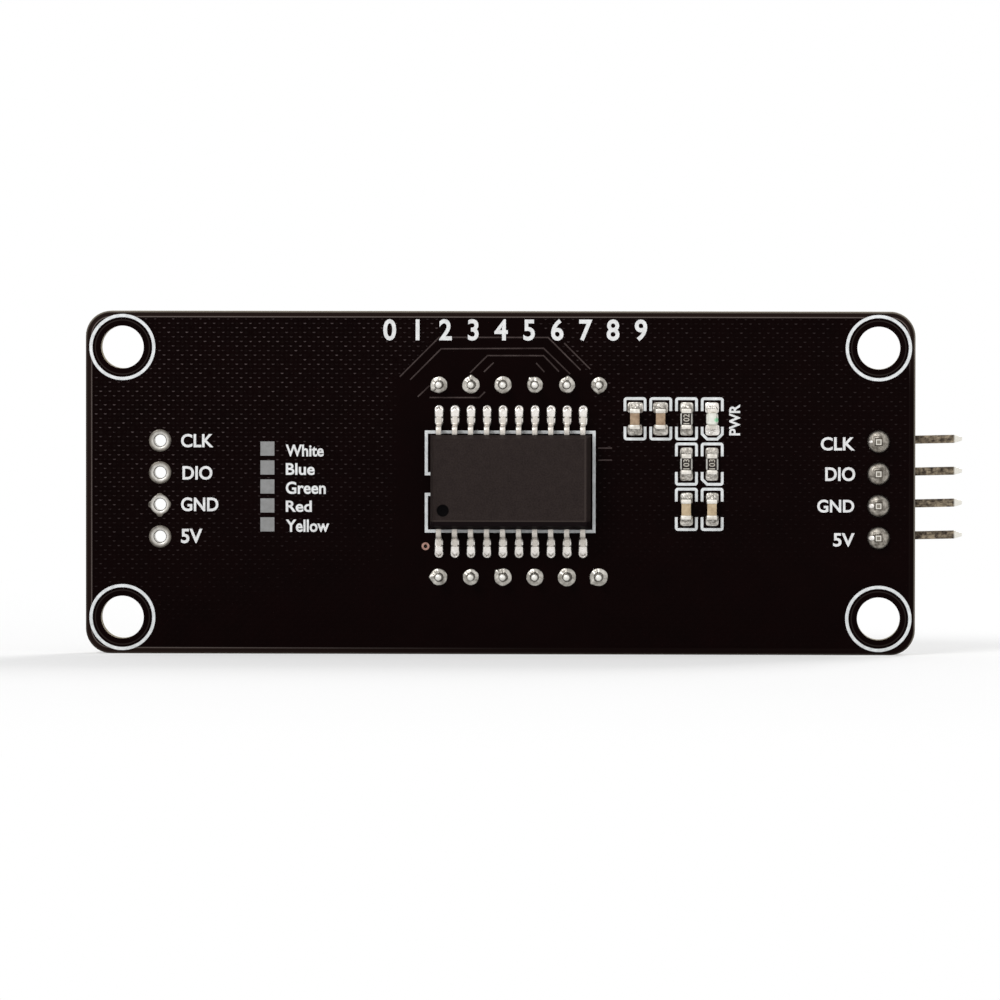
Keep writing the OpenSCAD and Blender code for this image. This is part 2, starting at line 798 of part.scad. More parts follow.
circuit_board();
rear_print();
front_print();
spare_lands();
via_land();
driver_body();
driver_leads(1);  // driver_leads_upper
driver_leads(-1);  // driver_leads_lower
driver_solder();
header_block();
header_solder();
for (i = [0:header_n - 1])
    header_pin(i);
display_shell();
display_face();
colon_lights();
carrier_board();
led_dies();
potting();
for (i = [1:digit_n])
    light_bars(i);
for (i = [1:2*display_pin_n])
    display_pin(i);
display_solder();
for (i = [1:capacitor_n]) {
    capacitor(i);
    capacitor_ends(i);
}
for (i = [1:resistor_n]) {
    resistor(i);
    resistor_glaze(i);
    resistor_ends(i);
}
power_light_base();
power_light_lens();
power_light_ends();
small_part_solder();
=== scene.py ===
import math
import random
import bmesh
import bpy
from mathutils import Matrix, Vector, noise


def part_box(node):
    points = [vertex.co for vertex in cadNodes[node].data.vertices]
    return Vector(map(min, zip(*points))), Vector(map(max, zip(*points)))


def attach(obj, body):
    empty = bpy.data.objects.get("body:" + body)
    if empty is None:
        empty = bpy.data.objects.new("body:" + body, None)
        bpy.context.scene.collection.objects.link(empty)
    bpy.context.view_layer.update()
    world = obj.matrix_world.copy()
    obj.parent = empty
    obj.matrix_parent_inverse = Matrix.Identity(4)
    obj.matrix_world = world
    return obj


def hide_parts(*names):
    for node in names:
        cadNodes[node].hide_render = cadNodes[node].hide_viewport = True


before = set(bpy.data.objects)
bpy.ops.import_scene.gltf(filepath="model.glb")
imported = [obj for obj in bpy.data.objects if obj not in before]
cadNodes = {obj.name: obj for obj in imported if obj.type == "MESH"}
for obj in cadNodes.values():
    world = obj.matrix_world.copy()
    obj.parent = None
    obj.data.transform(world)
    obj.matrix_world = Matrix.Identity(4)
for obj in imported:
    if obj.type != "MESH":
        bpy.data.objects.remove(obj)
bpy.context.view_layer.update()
print("frame loaded:", len(cadNodes), "nodes")

mm = 0.001
boardThick = 1.6   # mm, rear face of the board at y = +1.6
pxPerMm = 12.61    # scale of the photograph
boardMiddle = (500.0, 482.9)   # pixel of the board's middle
# rows of holes, in mm: x of the row, z of its top hole
spareRow = {"x": 27.0, "top": 3.31, "pitch": 2.54, "count": 4}
headerRow = {"x": -30.0, "top": 3.31, "pitch": 2.54, "count": 4}


# Places: u runs to the right and v up as one looks at the rear of the board, h off its face
def rearPoint(u, v, h):
    return Vector((-u, boardThick + h, v)) * mm


def fromPixel(px, py):
    return (px - boardMiddle[0]) / pxPerMm, (boardMiddle[1] - py) / pxPerMm


def rearPlaceOf(node):
    low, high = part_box(node)
    middle = (low + high) / 2 / mm
    return -middle.x, middle.z


def rowPlaces(row):
    return [(-row["x"], row["top"] - index * row["pitch"]) for index in range(row["count"])]


# Node tree helpers
def isSocket(value):
    return isinstance(value, bpy.types.NodeSocket)


# A new node: an input that is given a socket is linked to it, and any other takes the value
def addNode(tree, kind, inputs, **settings):
    node = tree.nodes.new("ShaderNode" + kind)
    for label, value in settings.items():
        setattr(node, label, value)
    for label, value in inputs.items():
        if isSocket(value):
            tree.links.new(value, node.inputs[label])
        else:
            node.inputs[label].default_value = value
    return node


def newMaterial(name):
    material = bpy.data.materials.new(name)
    material.use_nodes = True
    shader = material.node_tree.nodes["Principled BSDF"]
    return material, material.node_tree, shader


def newGroup(name, inputs, outputs):
    tree = bpy.data.node_groups.new(name, "ShaderNodeTree")
    for label, kind, value in inputs:
        socket = tree.interface.new_socket(label, in_out="INPUT", socket_type=kind)
        socket.default_value = value
    for label, kind in outputs:
        tree.interface.new_socket(label, in_out="OUTPUT", socket_type=kind)
    return tree, tree.nodes.new("NodeGroupInput"), tree.nodes.new("NodeGroupOutput")


def placeGroup(tree, group, **values):
    return addNode(tree, "Group", values, node_tree=group)


# Sums stand in the tree that their values come from
def treeOf(*values):
    return next(value.id_data for value in values if isSocket(value))


def mathNode(operation, *values, clamp=False):
    inputs = dict(enumerate(values))
    return addNode(treeOf(*values), "Math", inputs, operation=operation, use_clamp=clamp).outputs[0]


def plus(a, b):
    return mathNode("ADD", a, b)


def minus(a, b):
    return mathNode("SUBTRACT", a, b)


def times(a, b):
    return mathNode("MULTIPLY", a, b)


def over(a, b):
    return mathNode("DIVIDE", a, b)


def larger(a, b):
    return mathNode("MAXIMUM", a, b)


def sizeOf(value):
    return mathNode("ABSOLUTE", value)


def opposite(value):
    return minus(1.0, value)


def lengthOf(a, b):
    return mathNode("SQRT", plus(times(a, a), times(b, b)))


# sRGB 0 to 255, as an eyedropper gives it, to the linear colour that a socket takes
def colourOf(r, g, b):
    def linear(c):
        c = c / 255
        return c / 12.92 if c <= 0.04045 else ((c + 0.055) / 1.055) ** 2.4
    return (linear(r), linear(g), linear(b), 1.0)


def mixColours(factor, a, b, blend="MIX"):
    tree = treeOf(factor, a, b)
    a, b = [colourOf(*value) if isinstance(value, tuple) else value for value in (a, b)]
    return addNode(tree, "Mix", {0: factor, 6: a, 7: b}, data_type="RGBA", blend_type=blend).outputs[2]


def objectPlace(tree):
    return addNode(tree, "TexCoord", {}).outputs["Object"]


def placeInMm(tree, axes):
    split = addNode(tree, "SeparateXYZ", {0: objectPlace(tree)})
    return [over(split.outputs[axis], mm) for axis in axes]


# Place across and up from the nearest hole of a row
def fromRow(x, z, row):
    step = over(minus(z, row["top"]), row["pitch"])
    nearest = minus(mathNode("FRACT", plus(step, 0.5)), 0.5)
    return minus(x, row["x"]), times(nearest, row["pitch"])


# How squarely a face looks along one axis, -1 to 1
def facing(tree, normal, axis):
    geometry = addNode(tree, "NewGeometry", {})
    return addNode(tree, "SeparateXYZ", {0: geometry.outputs[normal]}).outputs[axis]


def noiseOf(tree, scale, detail, roughness=0.5):
    inputs = {"Vector": objectPlace(tree), "Scale": scale, "Detail": detail, "Roughness": roughness}
    return addNode(tree, "TexNoise", inputs).outputs["Fac"]


def rampBetween(value, low, high):
    inputs = {"Value": value, "From Min": low, "From Max": high}
    return addNode(treeOf(value), "MapRange", inputs, interpolation_type="SMOOTHSTEP").outputs["Result"]


# 1 on a thin line where the value has the given size, fading from its core to its half width
def lineAt(value, where, halfWidth, core=0.4):
    return opposite(rampBetween(sizeOf(minus(value, where)), halfWidth * core, halfWidth))


def bumpFrom(tree, shader, height, strength, distance):
    bump = addNode(tree, "Bump", {"Strength": strength, "Distance": distance, "Height": height})
    tree.links.new(bump.outputs["Normal"], shader.inputs["Normal"])


# Shared effects
def makeGrainGroup():
    tree, inside, outside = newGroup(
        "fineGrain",
        [("Scale", "NodeSocketFloat", 8000.0), ("Coarse", "NodeSocketFloat", 900.0),
         ("Blend", "NodeSocketFloat", 0.4)],
        [("Height", "NodeSocketFloat"), ("Value", "NodeSocketFloat")])
    fine = noiseOf(tree, inside.outputs["Scale"], 3)
    coarse = noiseOf(tree, inside.outputs["Coarse"], 2)
    both = addNode(tree, "Mix", {0: inside.outputs["Blend"], 2: fine, 3: coarse})
    tree.links.new(both.outputs[0], outside.inputs["Height"])
    tree.links.new(coarse, outside.inputs["Value"])
    return tree


def makeMottleGroup():
    tree, inside, outside = newGroup(
        "mottling",
        [("Scale", "NodeSocketFloat", 600.0), ("Sharpness", "NodeSocketFloat", 0.2),
         ("Light", "NodeSocketColor", (1, 1, 1, 1)), ("Dark", "NodeSocketColor", (0, 0, 0, 1))],
        [("Color", "NodeSocketColor")])
    cloud = noiseOf(tree, inside.outputs["Scale"], 5, 0.6)
    shifted = minus(cloud, minus(0.5, inside.outputs["Sharpness"]))
    width = times(inside.outputs["Sharpness"], 2.0)
    mask = mathNode("DIVIDE", shifted, width, clamp=True)
    colour = mixColours(mask, inside.outputs["Dark"], inside.outputs["Light"])
    tree.links.new(colour, outside.inputs["Color"])
    return tree


pourSettings = {
    "cell": 0.721, "edge": 0.46, "lineShare": 0.42, "soft": 0.3,
    "glintWide": 0.2, "glintHigh": 0.075, "glintSag": 1.4,
    # some windows catch more light than others
    "patchScale": 1900.0, "patchDetail": 4, "patchRange": (0.36, 0.68),
}


# Copper pour of crossed lines under the mask: its windows, its height and a painted highlight, the glint of
# each window's edge
def makePourGroup(settings):
    tree, inside, outside = newGroup(
        "hatchedPour", [("Line Share", "NodeSocketFloat", 0.5)],
        [("Window", "NodeSocketFloat"), ("Height", "NodeSocketFloat"), ("Glint", "NodeSocketFloat")])
    x, z = placeInMm(tree, "XZ")
    across = times(x, 1 / settings["cell"])
    up = times(z, 1 / settings["cell"])
    waves = [times(mathNode("PINGPONG", turned, 0.5), 2.0)
             for turned in (plus(across, up), minus(across, up))]
    lineShare = inside.outputs["Line Share"]
    window = rampBetween(mathNode("MINIMUM", *waves), lineShare, plus(lineShare, settings["soft"]))
    tree.links.new(window, outside.inputs["Window"])
    tree.links.new(opposite(window), outside.inputs["Height"])
    glints = []
    for shift in (0.0, 0.5):
        dx = minus(mathNode("FRACT", plus(across, shift)), 0.5)
        dz = minus(mathNode("FRACT", plus(up, shift)), 0.5)
        sag = times(times(dx, dx), settings["glintSag"])
        high = over(minus(dz, sag), settings["glintHigh"])
        wide = over(dx, settings["glintWide"])
        away = plus(times(wide, wide), times(high, high))
        glints.append(mathNode("SUBTRACT", 1.0, away, clamp=True))
    cloud = noiseOf(tree, settings["patchScale"], settings["patchDetail"])
    patchy = rampBetween(cloud, *settings["patchRange"])
    glint = times(larger(glints[0], glints[1]), patchy)
    tree.links.new(glint, outside.inputs["Glint"])
    return tree


grainGroup = makeGrainGroup()
mottleGroup = makeMottleGroup()
pourGroup = makePourGroup(pourSettings)
print("effect groups made")


# Materials
constantSockets = {"metal": "Metallic", "gloss": "Specular IOR Level", "milk": "Subsurface Weight"}


# A body is its light and its dark colour, and the scale and sharpness of their mottling
def mottleOf(tree, body):
    light, dark, scale, sharp = body
    mottle = placeGroup(tree, mottleGroup, Scale=scale, Sharpness=sharp, Light=colourOf(*light),
                        Dark=colourOf(*dark))
    return mottle.outputs["Color"]


# What every surface has: its colour, and a fine grain in its roughness and its bump
def finishSurface(tree, shader, colour, s, height=None):
    tree.links.new(colour, shader.inputs["Base Color"])
    grain = placeGroup(tree, grainGroup, Scale=s["grain"], Coarse=s["coarse"], Blend=s["blend"])
    rough = plus(times(grain.outputs["Value"], s["roughSpread"]), s["rough"])
    tree.links.new(rough, shader.inputs["Roughness"])
    raised = grain.outputs["Height"]
    if height is not None:
        raised = plus(height, times(raised, s["grainHeight"]))
    bumpFrom(tree, shader, raised, s["bump"], s["depth"])
    for label, socket in constantSockets.items():
        if label in s:
            shader.inputs[socket].default_value = s[label]
    if "milk" in s:
        shader.inputs["Subsurface Radius"].default_value = (s["milkDepth"],) * 3


def makeMaterial(name, s, colourFrom):
    material, tree, shader = newMaterial(name)
    finishSurface(tree, shader, colourFrom(tree, s), s)
    return material


boardSize = {"halfLength": 32.9, "halfHeight": 13.6, "corner": 2.0, "holeX": 30.0, "holeZ": 10.725}
boardFinish = {
    "mask": ((13, 3, 3), (9, 2, 2), 420.0, 0.25), "window": (17, 9, 8), "windowShare": 0.7,
    "glint": (96, 84, 84), "border": (33, 23, 20), "pourEdgeHighlight": (98, 88, 84), "edgeHalf": 0.06,
    "rim": (128, 121, 110), "tin": (176, 172, 162), "tinMetal": 0.9, "gloss": 0.02,
    # the ring that the pour leaves free round a mounting hole
    "moatRadius": 2.15, "moatShare": 0.16,
    "grain": 9000.0, "coarse": 1400.0, "blend": 0.5, "grainHeight": 0.35, "rough": 0.3,
    "roughSpread": 0.2, "bump": 0.35, "depth": 0.00003,
}
# where the copper mesh shows, and the painted light falloff over it, each range in mm
meshPlan = {
    "height": (-9.5, 12.0), "leftEnd": 12.0, "leftLift": 0.3, "length": (-34.0, 26.0), "rightShare": 0.3,
    "middle": 0.5, "besideChip": (7.6, 8.4), "aboveChip": (8.2, 8.6), "pastTraces": (16.0, 16.3),
    "fromEdge": (0.58, 0.66), "fromHole": (2.7, 2.9),
}
marginSheenPlan = {"height": (7.0, 12.5), "length": (-10.0, 31.0), "leftShare": 0.9, "least": 0.15}
rimPlan = {
    "width": (0.05, 0.16), "height": (10.5, 13.4), "end": (32.2, 32.7), "endShare": 0.8,
    "least": 0.15, "spread": 0.75,
}
wallFinish = {
    "cloth": ((168, 157, 128), (112, 98, 68), 1500.0, 0.2),
    "layer": (92, 80, 56), "layerShare": 0.35, "layerScale": 800.0, "layerWaver": 1.2,
    "platedHalf": 0.6, "platedEnd": 5.5, "faceFrom": (0.5, 0.7),
}


# How far in from the board's rounded outline a point lies, and how far from the nearest mounting hole
def boardDistances(x, z):
    size = boardSize
    x, z = sizeOf(x), sizeOf(z)
    qx = minus(x, size["halfLength"] - size["corner"])
    qz = minus(z, size["halfHeight"] - size["corner"])
    past = lengthOf(larger(qx, 0.0), larger(qz, 0.0))
    within = mathNode("MINIMUM", larger(qx, qz), 0.0)
    gap = minus(minus(size["corner"], past), within)
    fromHole = lengthOf(minus(x, size["holeX"]), minus(z, size["holeZ"]))
    return gap, fromHole


# Where the pour is free of the chip, holes and edges, and how strongly its mesh shows there:
# less toward the bottom, later at the left end, a painted light falloff
def meshClearAndLit(x, z, gap, fromHole):
    plan = meshPlan
    leftEnd = minus(larger(x, plan["leftEnd"]), plan["leftEnd"])
    fromTop = rampBetween(plus(z, times(leftEnd, plan["leftLift"])), *plan["height"])
    fromLeft = times(rampBetween(x, *plan["length"]), 1 - plan["rightShare"])
    lightFalloff = times(fromTop, plus(fromLeft, plan["rightShare"]))
    fromMiddle = sizeOf(minus(x, plan["middle"]))
    aboveChip = rampBetween(z, *plan["aboveChip"])
    besideChip = times(rampBetween(fromMiddle, *plan["besideChip"]), opposite(aboveChip))
    pastTraces = rampBetween(plus(fromMiddle, z), *plan["pastTraces"])
    clear = larger(besideChip, times(pastTraces, aboveChip))
    fromEdge = rampBetween(gap, *plan["fromEdge"])
    clear = times(clear, times(rampBetween(fromHole, *plan["fromHole"]), fromEdge))
    return clear, times(lightFalloff, clear)


# The bare margin's own brown is drawn strongest at the top and the left and nearly black opposite, a painted
# sheen
def marginSheen(x, z):
    plan = marginSheenPlan
    left = times(rampBetween(x, *plan["length"]), plan["leftShare"])
    tone = larger(rampBetween(z, *plan["height"]), left)
    return plus(times(tone, 1 - plan["least"]), plan["least"])


# The milled edge is drawn pale, most along the top and one end
def rimSeen(x, z, gap):
    plan = rimPlan
    rim = opposite(rampBetween(gap, *plan["width"]))
    end = times(rampBetween(times(x, -1.0), *plan["end"]), plan["endShare"])
    topOrEnd = larger(rampBetween(z, *plan["height"]), end)
    return times(rim, plus(times(topOrEnd, plan["spread"]), plan["least"]))


# Walls of the laminate show its layers of glass cloth, and those of the spare holes are plated
def wallColour(tree, x, z):
    s = wallFinish
    inputs = {"Vector": objectPlace(tree), "Scale": s["layerScale"], "Distortion": s["layerWaver"]}
    wave = addNode(tree, "TexWave", inputs, bands_direction="Y")
    layers = times(wave.outputs["Fac"], s["layerShare"])
    wall = mixColours(layers, mottleOf(tree, s["cloth"]), s["layer"])
    fromSpares = sizeOf(minus(x, spareRow["x"]))
    plated = times(mathNode("LESS_THAN", fromSpares, s["platedHalf"]),
                   mathNode("LESS_THAN", sizeOf(z), s["platedEnd"]))
    return mixColours(plated, wall, boardFinish["tin"]), plated


def makeBoardMaterial():
    material, tree, shader = newMaterial("solderMaskOnLaminate")
    s = boardFinish
    x, z = placeInMm(tree, "XZ")
    pour = placeGroup(tree, pourGroup, **{"Line Share": pourSettings["lineShare"]})
    gap, fromHole = boardDistances(x, z)
    # seen carries the painted light falloff as well as the clearing
    clear, seen = meshClearAndLit(x, z, gap, fromHole)
    edge = pourSettings["edge"]
    band = opposite(rampBetween(gap, edge - s["edgeHalf"], edge))
    line = lineAt(gap, edge, s["edgeHalf"])
    moat = lineAt(fromHole, s["moatRadius"], s["edgeHalf"])
    # painted sheen on the margin, brown at the top and the left
    tone = marginSheen(x, z)
    colour = mottleOf(tree, s["mask"])
    layers = [
        (times(times(pour.outputs["Window"], seen), s["windowShare"]), s["window"]),
        # painted highlight: the glint of each window's edge
        (times(pour.outputs["Glint"], seen), s["glint"]),
        (times(band, tone), s["border"]),
        # painted highlight: lines along the pour's edge and round the mounting holes, the first scaled by the
        # painted sheen
        (times(line, times(tone, tone)), s["pourEdgeHighlight"]),
        (times(moat, s["moatShare"]), s["pourEdgeHighlight"]),
        (rimSeen(x, z, gap), s["rim"]),
    ]
    for share, layer in layers:
        colour = mixColours(share, colour, layer)
    level = sizeOf(facing(tree, "True Normal", "Y"))
    isFace = rampBetween(level, *wallFinish["faceFrom"])
    wall, plated = wallColour(tree, x, z)
    platedWall = times(plated, opposite(isFace))
    tree.links.new(times(platedWall, s["tinMetal"]), shader.inputs["Metallic"])
    height = times(pour.outputs["Height"], clear)
    finishSurface(tree, shader, mixColours(isFace, wall, colour), s, height)
    return material


# What each tin finish has unless it says otherwise
tinBase = {
    "grain": 9000.0, "coarseShare": 2, "blend": 0.5, "roughSpread": 0.2, "metal": 0.6, "bump": 0.3,
    "depth": 0.00004, "slopeRun": 0.3,
}
# each finish's slope colour is painted shade, on faces that lean away from the board's plane
tinFinishes = {
    "headerDomes": {"body": ((178, 172, 162), (104, 98, 90), 3000.0, 0.14), "grain": 7000.0, "rough": 0.3,
                    "metal": 0.8, "bump": 0.7, "slope": (92, 87, 82), "flatFrom": 0.66},
    "displayCones": {"body": ((212, 208, 200), (136, 131, 123), 1900.0, 0.16), "grain": 6000.0,
                     "rough": 0.18, "roughSpread": 0.22, "metal": 0.84, "bump": 0.7,
                     "slope": (100, 95, 89), "flatFrom": 0.84},
    "leadSolder": {"body": ((250, 246, 241), (222, 216, 209), 1300.0, 0.2), "grain": 8000.0,
                   "rough": 0.16, "metal": 0.7, "slope": (112, 107, 101), "flatFrom": 0.74},
    "chipSolder": {"body": ((232, 227, 219), (158, 152, 143), 2600.0, 0.12), "grain": 5000.0,
                   "rough": 0.22, "roughSpread": 0.3, "bump": 0.9, "slope": (128, 122, 114),
                   "flatFrom": 0.6},
    "tinnedLeads": {"body": ((232, 226, 217), (206, 199, 190), 1400.0, 0.22), "grain": 12000.0,
                    "rough": 0.32, "roughSpread": 0.15, "bump": 0.2, "slope": (206, 199, 191),
                    "flatFrom": 0.8},
    "tinnedEnds": {"body": ((250, 246, 238), (206, 200, 190), 2600.0, 0.16), "rough": 0.3, "bump": 0.5,
                   "slope": (150, 143, 134), "flatFrom": 0.7},
    "copperRing": {"body": ((196, 156, 142), (136, 102, 92), 2600.0, 0.2), "rough": 0.32, "metal": 0.8,
                   "bump": 0.4, "slope": (60, 44, 40), "flatFrom": 0.8},
    "displayPinTin": {"body": ((253, 251, 244), (224, 220, 212), 2600.0, 0.22), "rough": 0.24,
                      "slope": (172, 168, 160), "flatFrom": 0.85},
}


# Painted shade: tin is drawn darker on faces that lean away from the board's own plane
def shadedTinColour(tree, s):
    level = sizeOf(facing(tree, "Normal", "Y"))
    slope = opposite(rampBetween(level, s["flatFrom"] - s["slopeRun"], s["flatFrom"]))
    return mixColours(slope, mottleOf(tree, s["body"]), s["slope"])


ringFinish = {
    # mm from a hole's middle
    "slopeEnd": 0.54, "rimStart": 0.84,
    "slope": ((238, 235, 229), (190, 185, 177), 2200.0, 0.2),
    "rim": ((118, 111, 101), (62, 56, 50), 2600.0, 0.16),
    "grain": 8000.0, "coarse": 2400.0, "blend": 0.5, "rough": 0.2, "roughSpread": 0.25, "metal": 0.35,
    "bump": 0.5, "depth": 0.00004,
}


# Bright tin on the slope into each spare hole, and darker metal toward the rim
def ringColour(tree, s):
    x, z = placeInMm(tree, "XZ")
    outer = rampBetween(lengthOf(*fromRow(x, z, spareRow)), s["slopeEnd"], s["rimStart"])
    return mixColours(outer, mottleOf(tree, s["slope"]), mottleOf(tree, s["rim"]))


pinFinish = {
    "shank": ((166, 151, 128), (62, 50, 42), 3000.0, 0.13), "metal": 0.75,
    "streak": (74, 62, 50), "streakScale": (1700.0, 5200.0, 5200.0), "streakRange": (0.42, 0.56),
    "streakShare": 0.55,
    # mm: x where the painted reflection of the pale tip starts, y where the cut end in the joint starts
    "tip": (236, 233, 224), "tipRange": (-36.12, -35.94), "cutRange": (2.45, 2.5),
    # the cut end is a bright square outline round a grey middle
    "core": (134, 128, 118), "outline": (228, 224, 214), "outside": (112, 106, 99),
    "outlineFrom": (0.13, 0.16), "outlineTo": (0.2, 0.23),
    "grain": 9000.0, "coarse": 1600.0, "blend": 0.4, "rough": 0.2, "roughSpread": 0.3, "bump": 0.35,
    "depth": 0.00003,
}


# Bare brown-grey shank, a bright cut end, and a pale tip that is a painted reflection
def pinColour(tree, s):
    x, y, z = placeInMm(tree, "XYZ")
    bare = mottleOf(tree, s["shank"])
    shaped = addNode(tree, "VectorMath", {0: objectPlace(tree), 1: s["streakScale"]}, operation="MULTIPLY")
    stretched = addNode(tree, "TexNoise", {"Vector": shaped.outputs[0], "Scale": 1.0, "Detail": 3})
    streak = rampBetween(stretched.outputs["Fac"], *s["streakRange"])
    shank = mixColours(streak, bare, s["streak"], "MULTIPLY")
    shank = mixColours(s["streakShare"], bare, shank)
    # painted reflection: the bevelled tip drawn pale
    colour = mixColours(opposite(rampBetween(x, *s["tipRange"])), shank, s["tip"])
    across, up = fromRow(x, z, headerRow)
    square = larger(sizeOf(across), sizeOf(up))
    cutEnd = mixColours(rampBetween(square, *s["outlineFrom"]), s["core"], s["outline"])
    cutEnd = mixColours(rampBetween(square, *s["outlineTo"]), cutEnd, s["outside"])
    return mixColours(rampBetween(y, *s["cutRange"]), colour, cutEnd)


# What each dull finish has unless it says otherwise
dullBase = {
    "grain": 9000.0, "coarseShare": 1.5, "blend": 0.4, "rough": 0.5, "roughSpread": 0.15, "gloss": 0.35,
    "bump": 0.3, "depth": 0.00003, "milkDepth": 0.0004,
}
printBase = {"grain": 12000.0, "rough": 0.55, "gloss": 0.2, "bump": 0.35, "depth": 0.00002}
dullFinishes = {
    "whitePrint": {**printBase, "body": ((248, 249, 249), (220, 220, 220), 2600.0, 0.2), "gloss": 0.3},
    "linePrint": {**printBase, "body": ((247, 250, 251), (214, 217, 218), 2600.0, 0.2)},
    "legendPrint": {**printBase, "body": ((152, 152, 152), (138, 138, 137), 2600.0, 0.2)},
    "markPrint": {**printBase, "body": ((222, 216, 204), (176, 170, 158), 4000.0, 0.2), "rough": 0.5,
                  "bump": 0.3},
    # painted highlight: the traces' edges drawn lighter than the mask
    "traceEdgeHighlight": {"body": ((82, 71, 69), (50, 40, 39), 900.0, 0.2), "gloss": 0.05, "depth": 0.00002},
    "headerPlastic": {"body": ((26, 26, 27), (18, 18, 19), 900.0, 0.25), "grain": 6000.0, "rough": 0.38,
                      "gloss": 0.4, "bump": 0.35},
    "paleCeramic": {"body": ((214, 192, 158), (180, 158, 126), 2400.0, 0.2), "gloss": 0.3, "bump": 0.5},
    "displayPlastic": {"body": ((228, 226, 218), (214, 211, 202), 300.0, 0.25), "grain": 5000.0,
                       "rough": 0.45, "gloss": 0.4, "bump": 0.35, "depth": 0.00004},
    "blackFace": {"body": ((24, 24, 25), (16, 16, 17), 500.0, 0.25), "grain": 7000.0, "blend": 0.3,
                  "rough": 0.42, "gloss": 0.14, "bump": 0.4},
    "lightResin": {"body": ((236, 234, 226), (222, 219, 208), 700.0, 0.3), "grain": 3000.0, "blend": 0.6,
                   "rough": 0.22, "gloss": 0.5, "bump": 0.25, "depth": 0.00005, "milk": 0.5},
    "carrierLaminate": {"body": ((196, 184, 132), (168, 154, 102), 800.0, 0.25), "grain": 6000.0,
                        "gloss": 0.4},
    "dieCrystal": {"body": ((212, 188, 84), (176, 148, 52), 5000.0, 0.2), "rough": 0.3, "gloss": 0.5,
                   "bump": 0.2, "depth": 0.00002},
    "pottingResin": {"body": ((222, 216, 192), (204, 196, 168), 260.0, 0.3), "grain": 2400.0,
                     "blend": 0.6, "rough": 0.25, "gloss": 0.5, "bump": 0.35, "depth": 0.00006,
                     "milk": 0.3},
    "capacitorCeramic": {"body": ((186, 160, 132), (140, 114, 90), 2400.0, 0.18), "bump": 0.5},
    "resistorCeramic": {"body": ((226, 224, 218), (200, 197, 190), 2000.0, 0.2), "depth": 0.00002},
    "resistorGlaze": {"body": ((52, 46, 42), (32, 27, 26), 3000.0, 0.2), "grain": 8000.0, "rough": 0.3,
                      "gloss": 0.12, "depth": 0.00002},
    "lightBase": {"body": ((226, 222, 208), (188, 182, 164), 2400.0, 0.2), "depth": 0.00002},
}


# Moulded resin, ceramic, print and plastic: a mottled body with a fine grain
def dullColour(tree, s):
    return mottleOf(tree, s["body"])


chipFinish = {
    "face": ((51, 43, 41), (42, 35, 34), 1200.0, 0.25), "gloss": 0.03,
    "specks": ((58, 50, 47), (33, 26, 26), 9000.0, 0.12), "speckShare": 0.35,
    "grain": 11000.0, "coarse": 1800.0, "blend": 0.25, "rough": 0.5, "roughSpread": 0.15, "bump": 0.6,
    # painted shade: the flank colour, for faces turned down and the band along the lower edge
    "depth": 0.00003, "flank": (20, 14, 15), "flankRange": (0.2, 0.6),
    # the painted highlight, a light line in from the body's lower and right edges, in mm from those edges
    "seam": (74, 66, 62), "seamShare": 0.55, "seamHalf": 0.07, "seamUp": 0.66, "seamIn": 0.42,
    "seamStart": 0.04, "bandRun": 0.06,
    # the mark of the first lead, in mm from the body's lower left corner
    "mark": (5, 4, 5), "markIn": 1.02, "markUp": 1.48, "markRadius": 0.5, "markCore": 0.9,
}


# The first lead's mark is darker than the moulded face; the lower flank is drawn darker as painted shade, and
# light lines near the lower and right edges are painted highlights
def chipColour(tree, s):
    x, z = placeInMm(tree, "XZ")
    low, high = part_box("driver_body")
    face = mixColours(s["speckShare"], mottleOf(tree, s["face"]), mottleOf(tree, s["specks"]))
    # painted shade on faces turned down and on the band along the lower edge
    under = rampBetween(times(facing(tree, "True Normal", "Z"), -1.0), *s["flankRange"])
    upward = minus(z, low.z / mm)
    inward = minus(x, low.x / mm)
    lowBandShade = opposite(rampBetween(upward, s["seamUp"] - s["bandRun"], s["seamUp"]))
    colour = mixColours(larger(under, lowBandShade), face, s["flank"])
    # painted highlight: light lines near the lower and right edges
    lowerLine = times(lineAt(upward, s["seamUp"], s["seamHalf"]),
                      rampBetween(inward, s["seamIn"] - s["seamStart"], s["seamIn"]))
    rightLine = times(lineAt(inward, s["seamIn"], s["seamHalf"]),
                      rampBetween(upward, s["seamUp"] - s["seamStart"], s["seamUp"]))
    lines = times(larger(lowerLine, rightLine), s["seamShare"])
    colour = mixColours(lines, colour, s["seam"])
    fromMark = lengthOf(minus(x, high.x / mm - s["markIn"]), minus(upward, s["markUp"]))
    mark = opposite(rampBetween(fromMark, s["markRadius"] * s["markCore"], s["markRadius"]))
    return mixColours(mark, colour, s["mark"])


lensFinish = {
    "lens": ((250, 250, 243), (224, 224, 212), 2600.0, 0.25), "milk": 0.4,
    "milkDepth": 0.0002, "grain": 8000.0, "coarse": 2000.0, "blend": 0.5, "rough": 0.1, "roughSpread": 0.2,
    "bump": 0.3, "depth": 0.00003,
    # the green chip that shows through near one corner: pixel of the photograph, and mm from it
    "spot": (150, 226, 176), "spotPixel": (716.5, 419.5), "spotRange": (0.06, 0.26),
}


def lensColour(tree, s):
    x, z = placeInMm(tree, "XZ")
    u, v = fromPixel(*s["spotPixel"])
    spot = opposite(rampBetween(lengthOf(plus(x, u), minus(z, v)), *s["spotRange"]))
    return mixColours(spot, mottleOf(tree, s["lens"]), s["spot"])


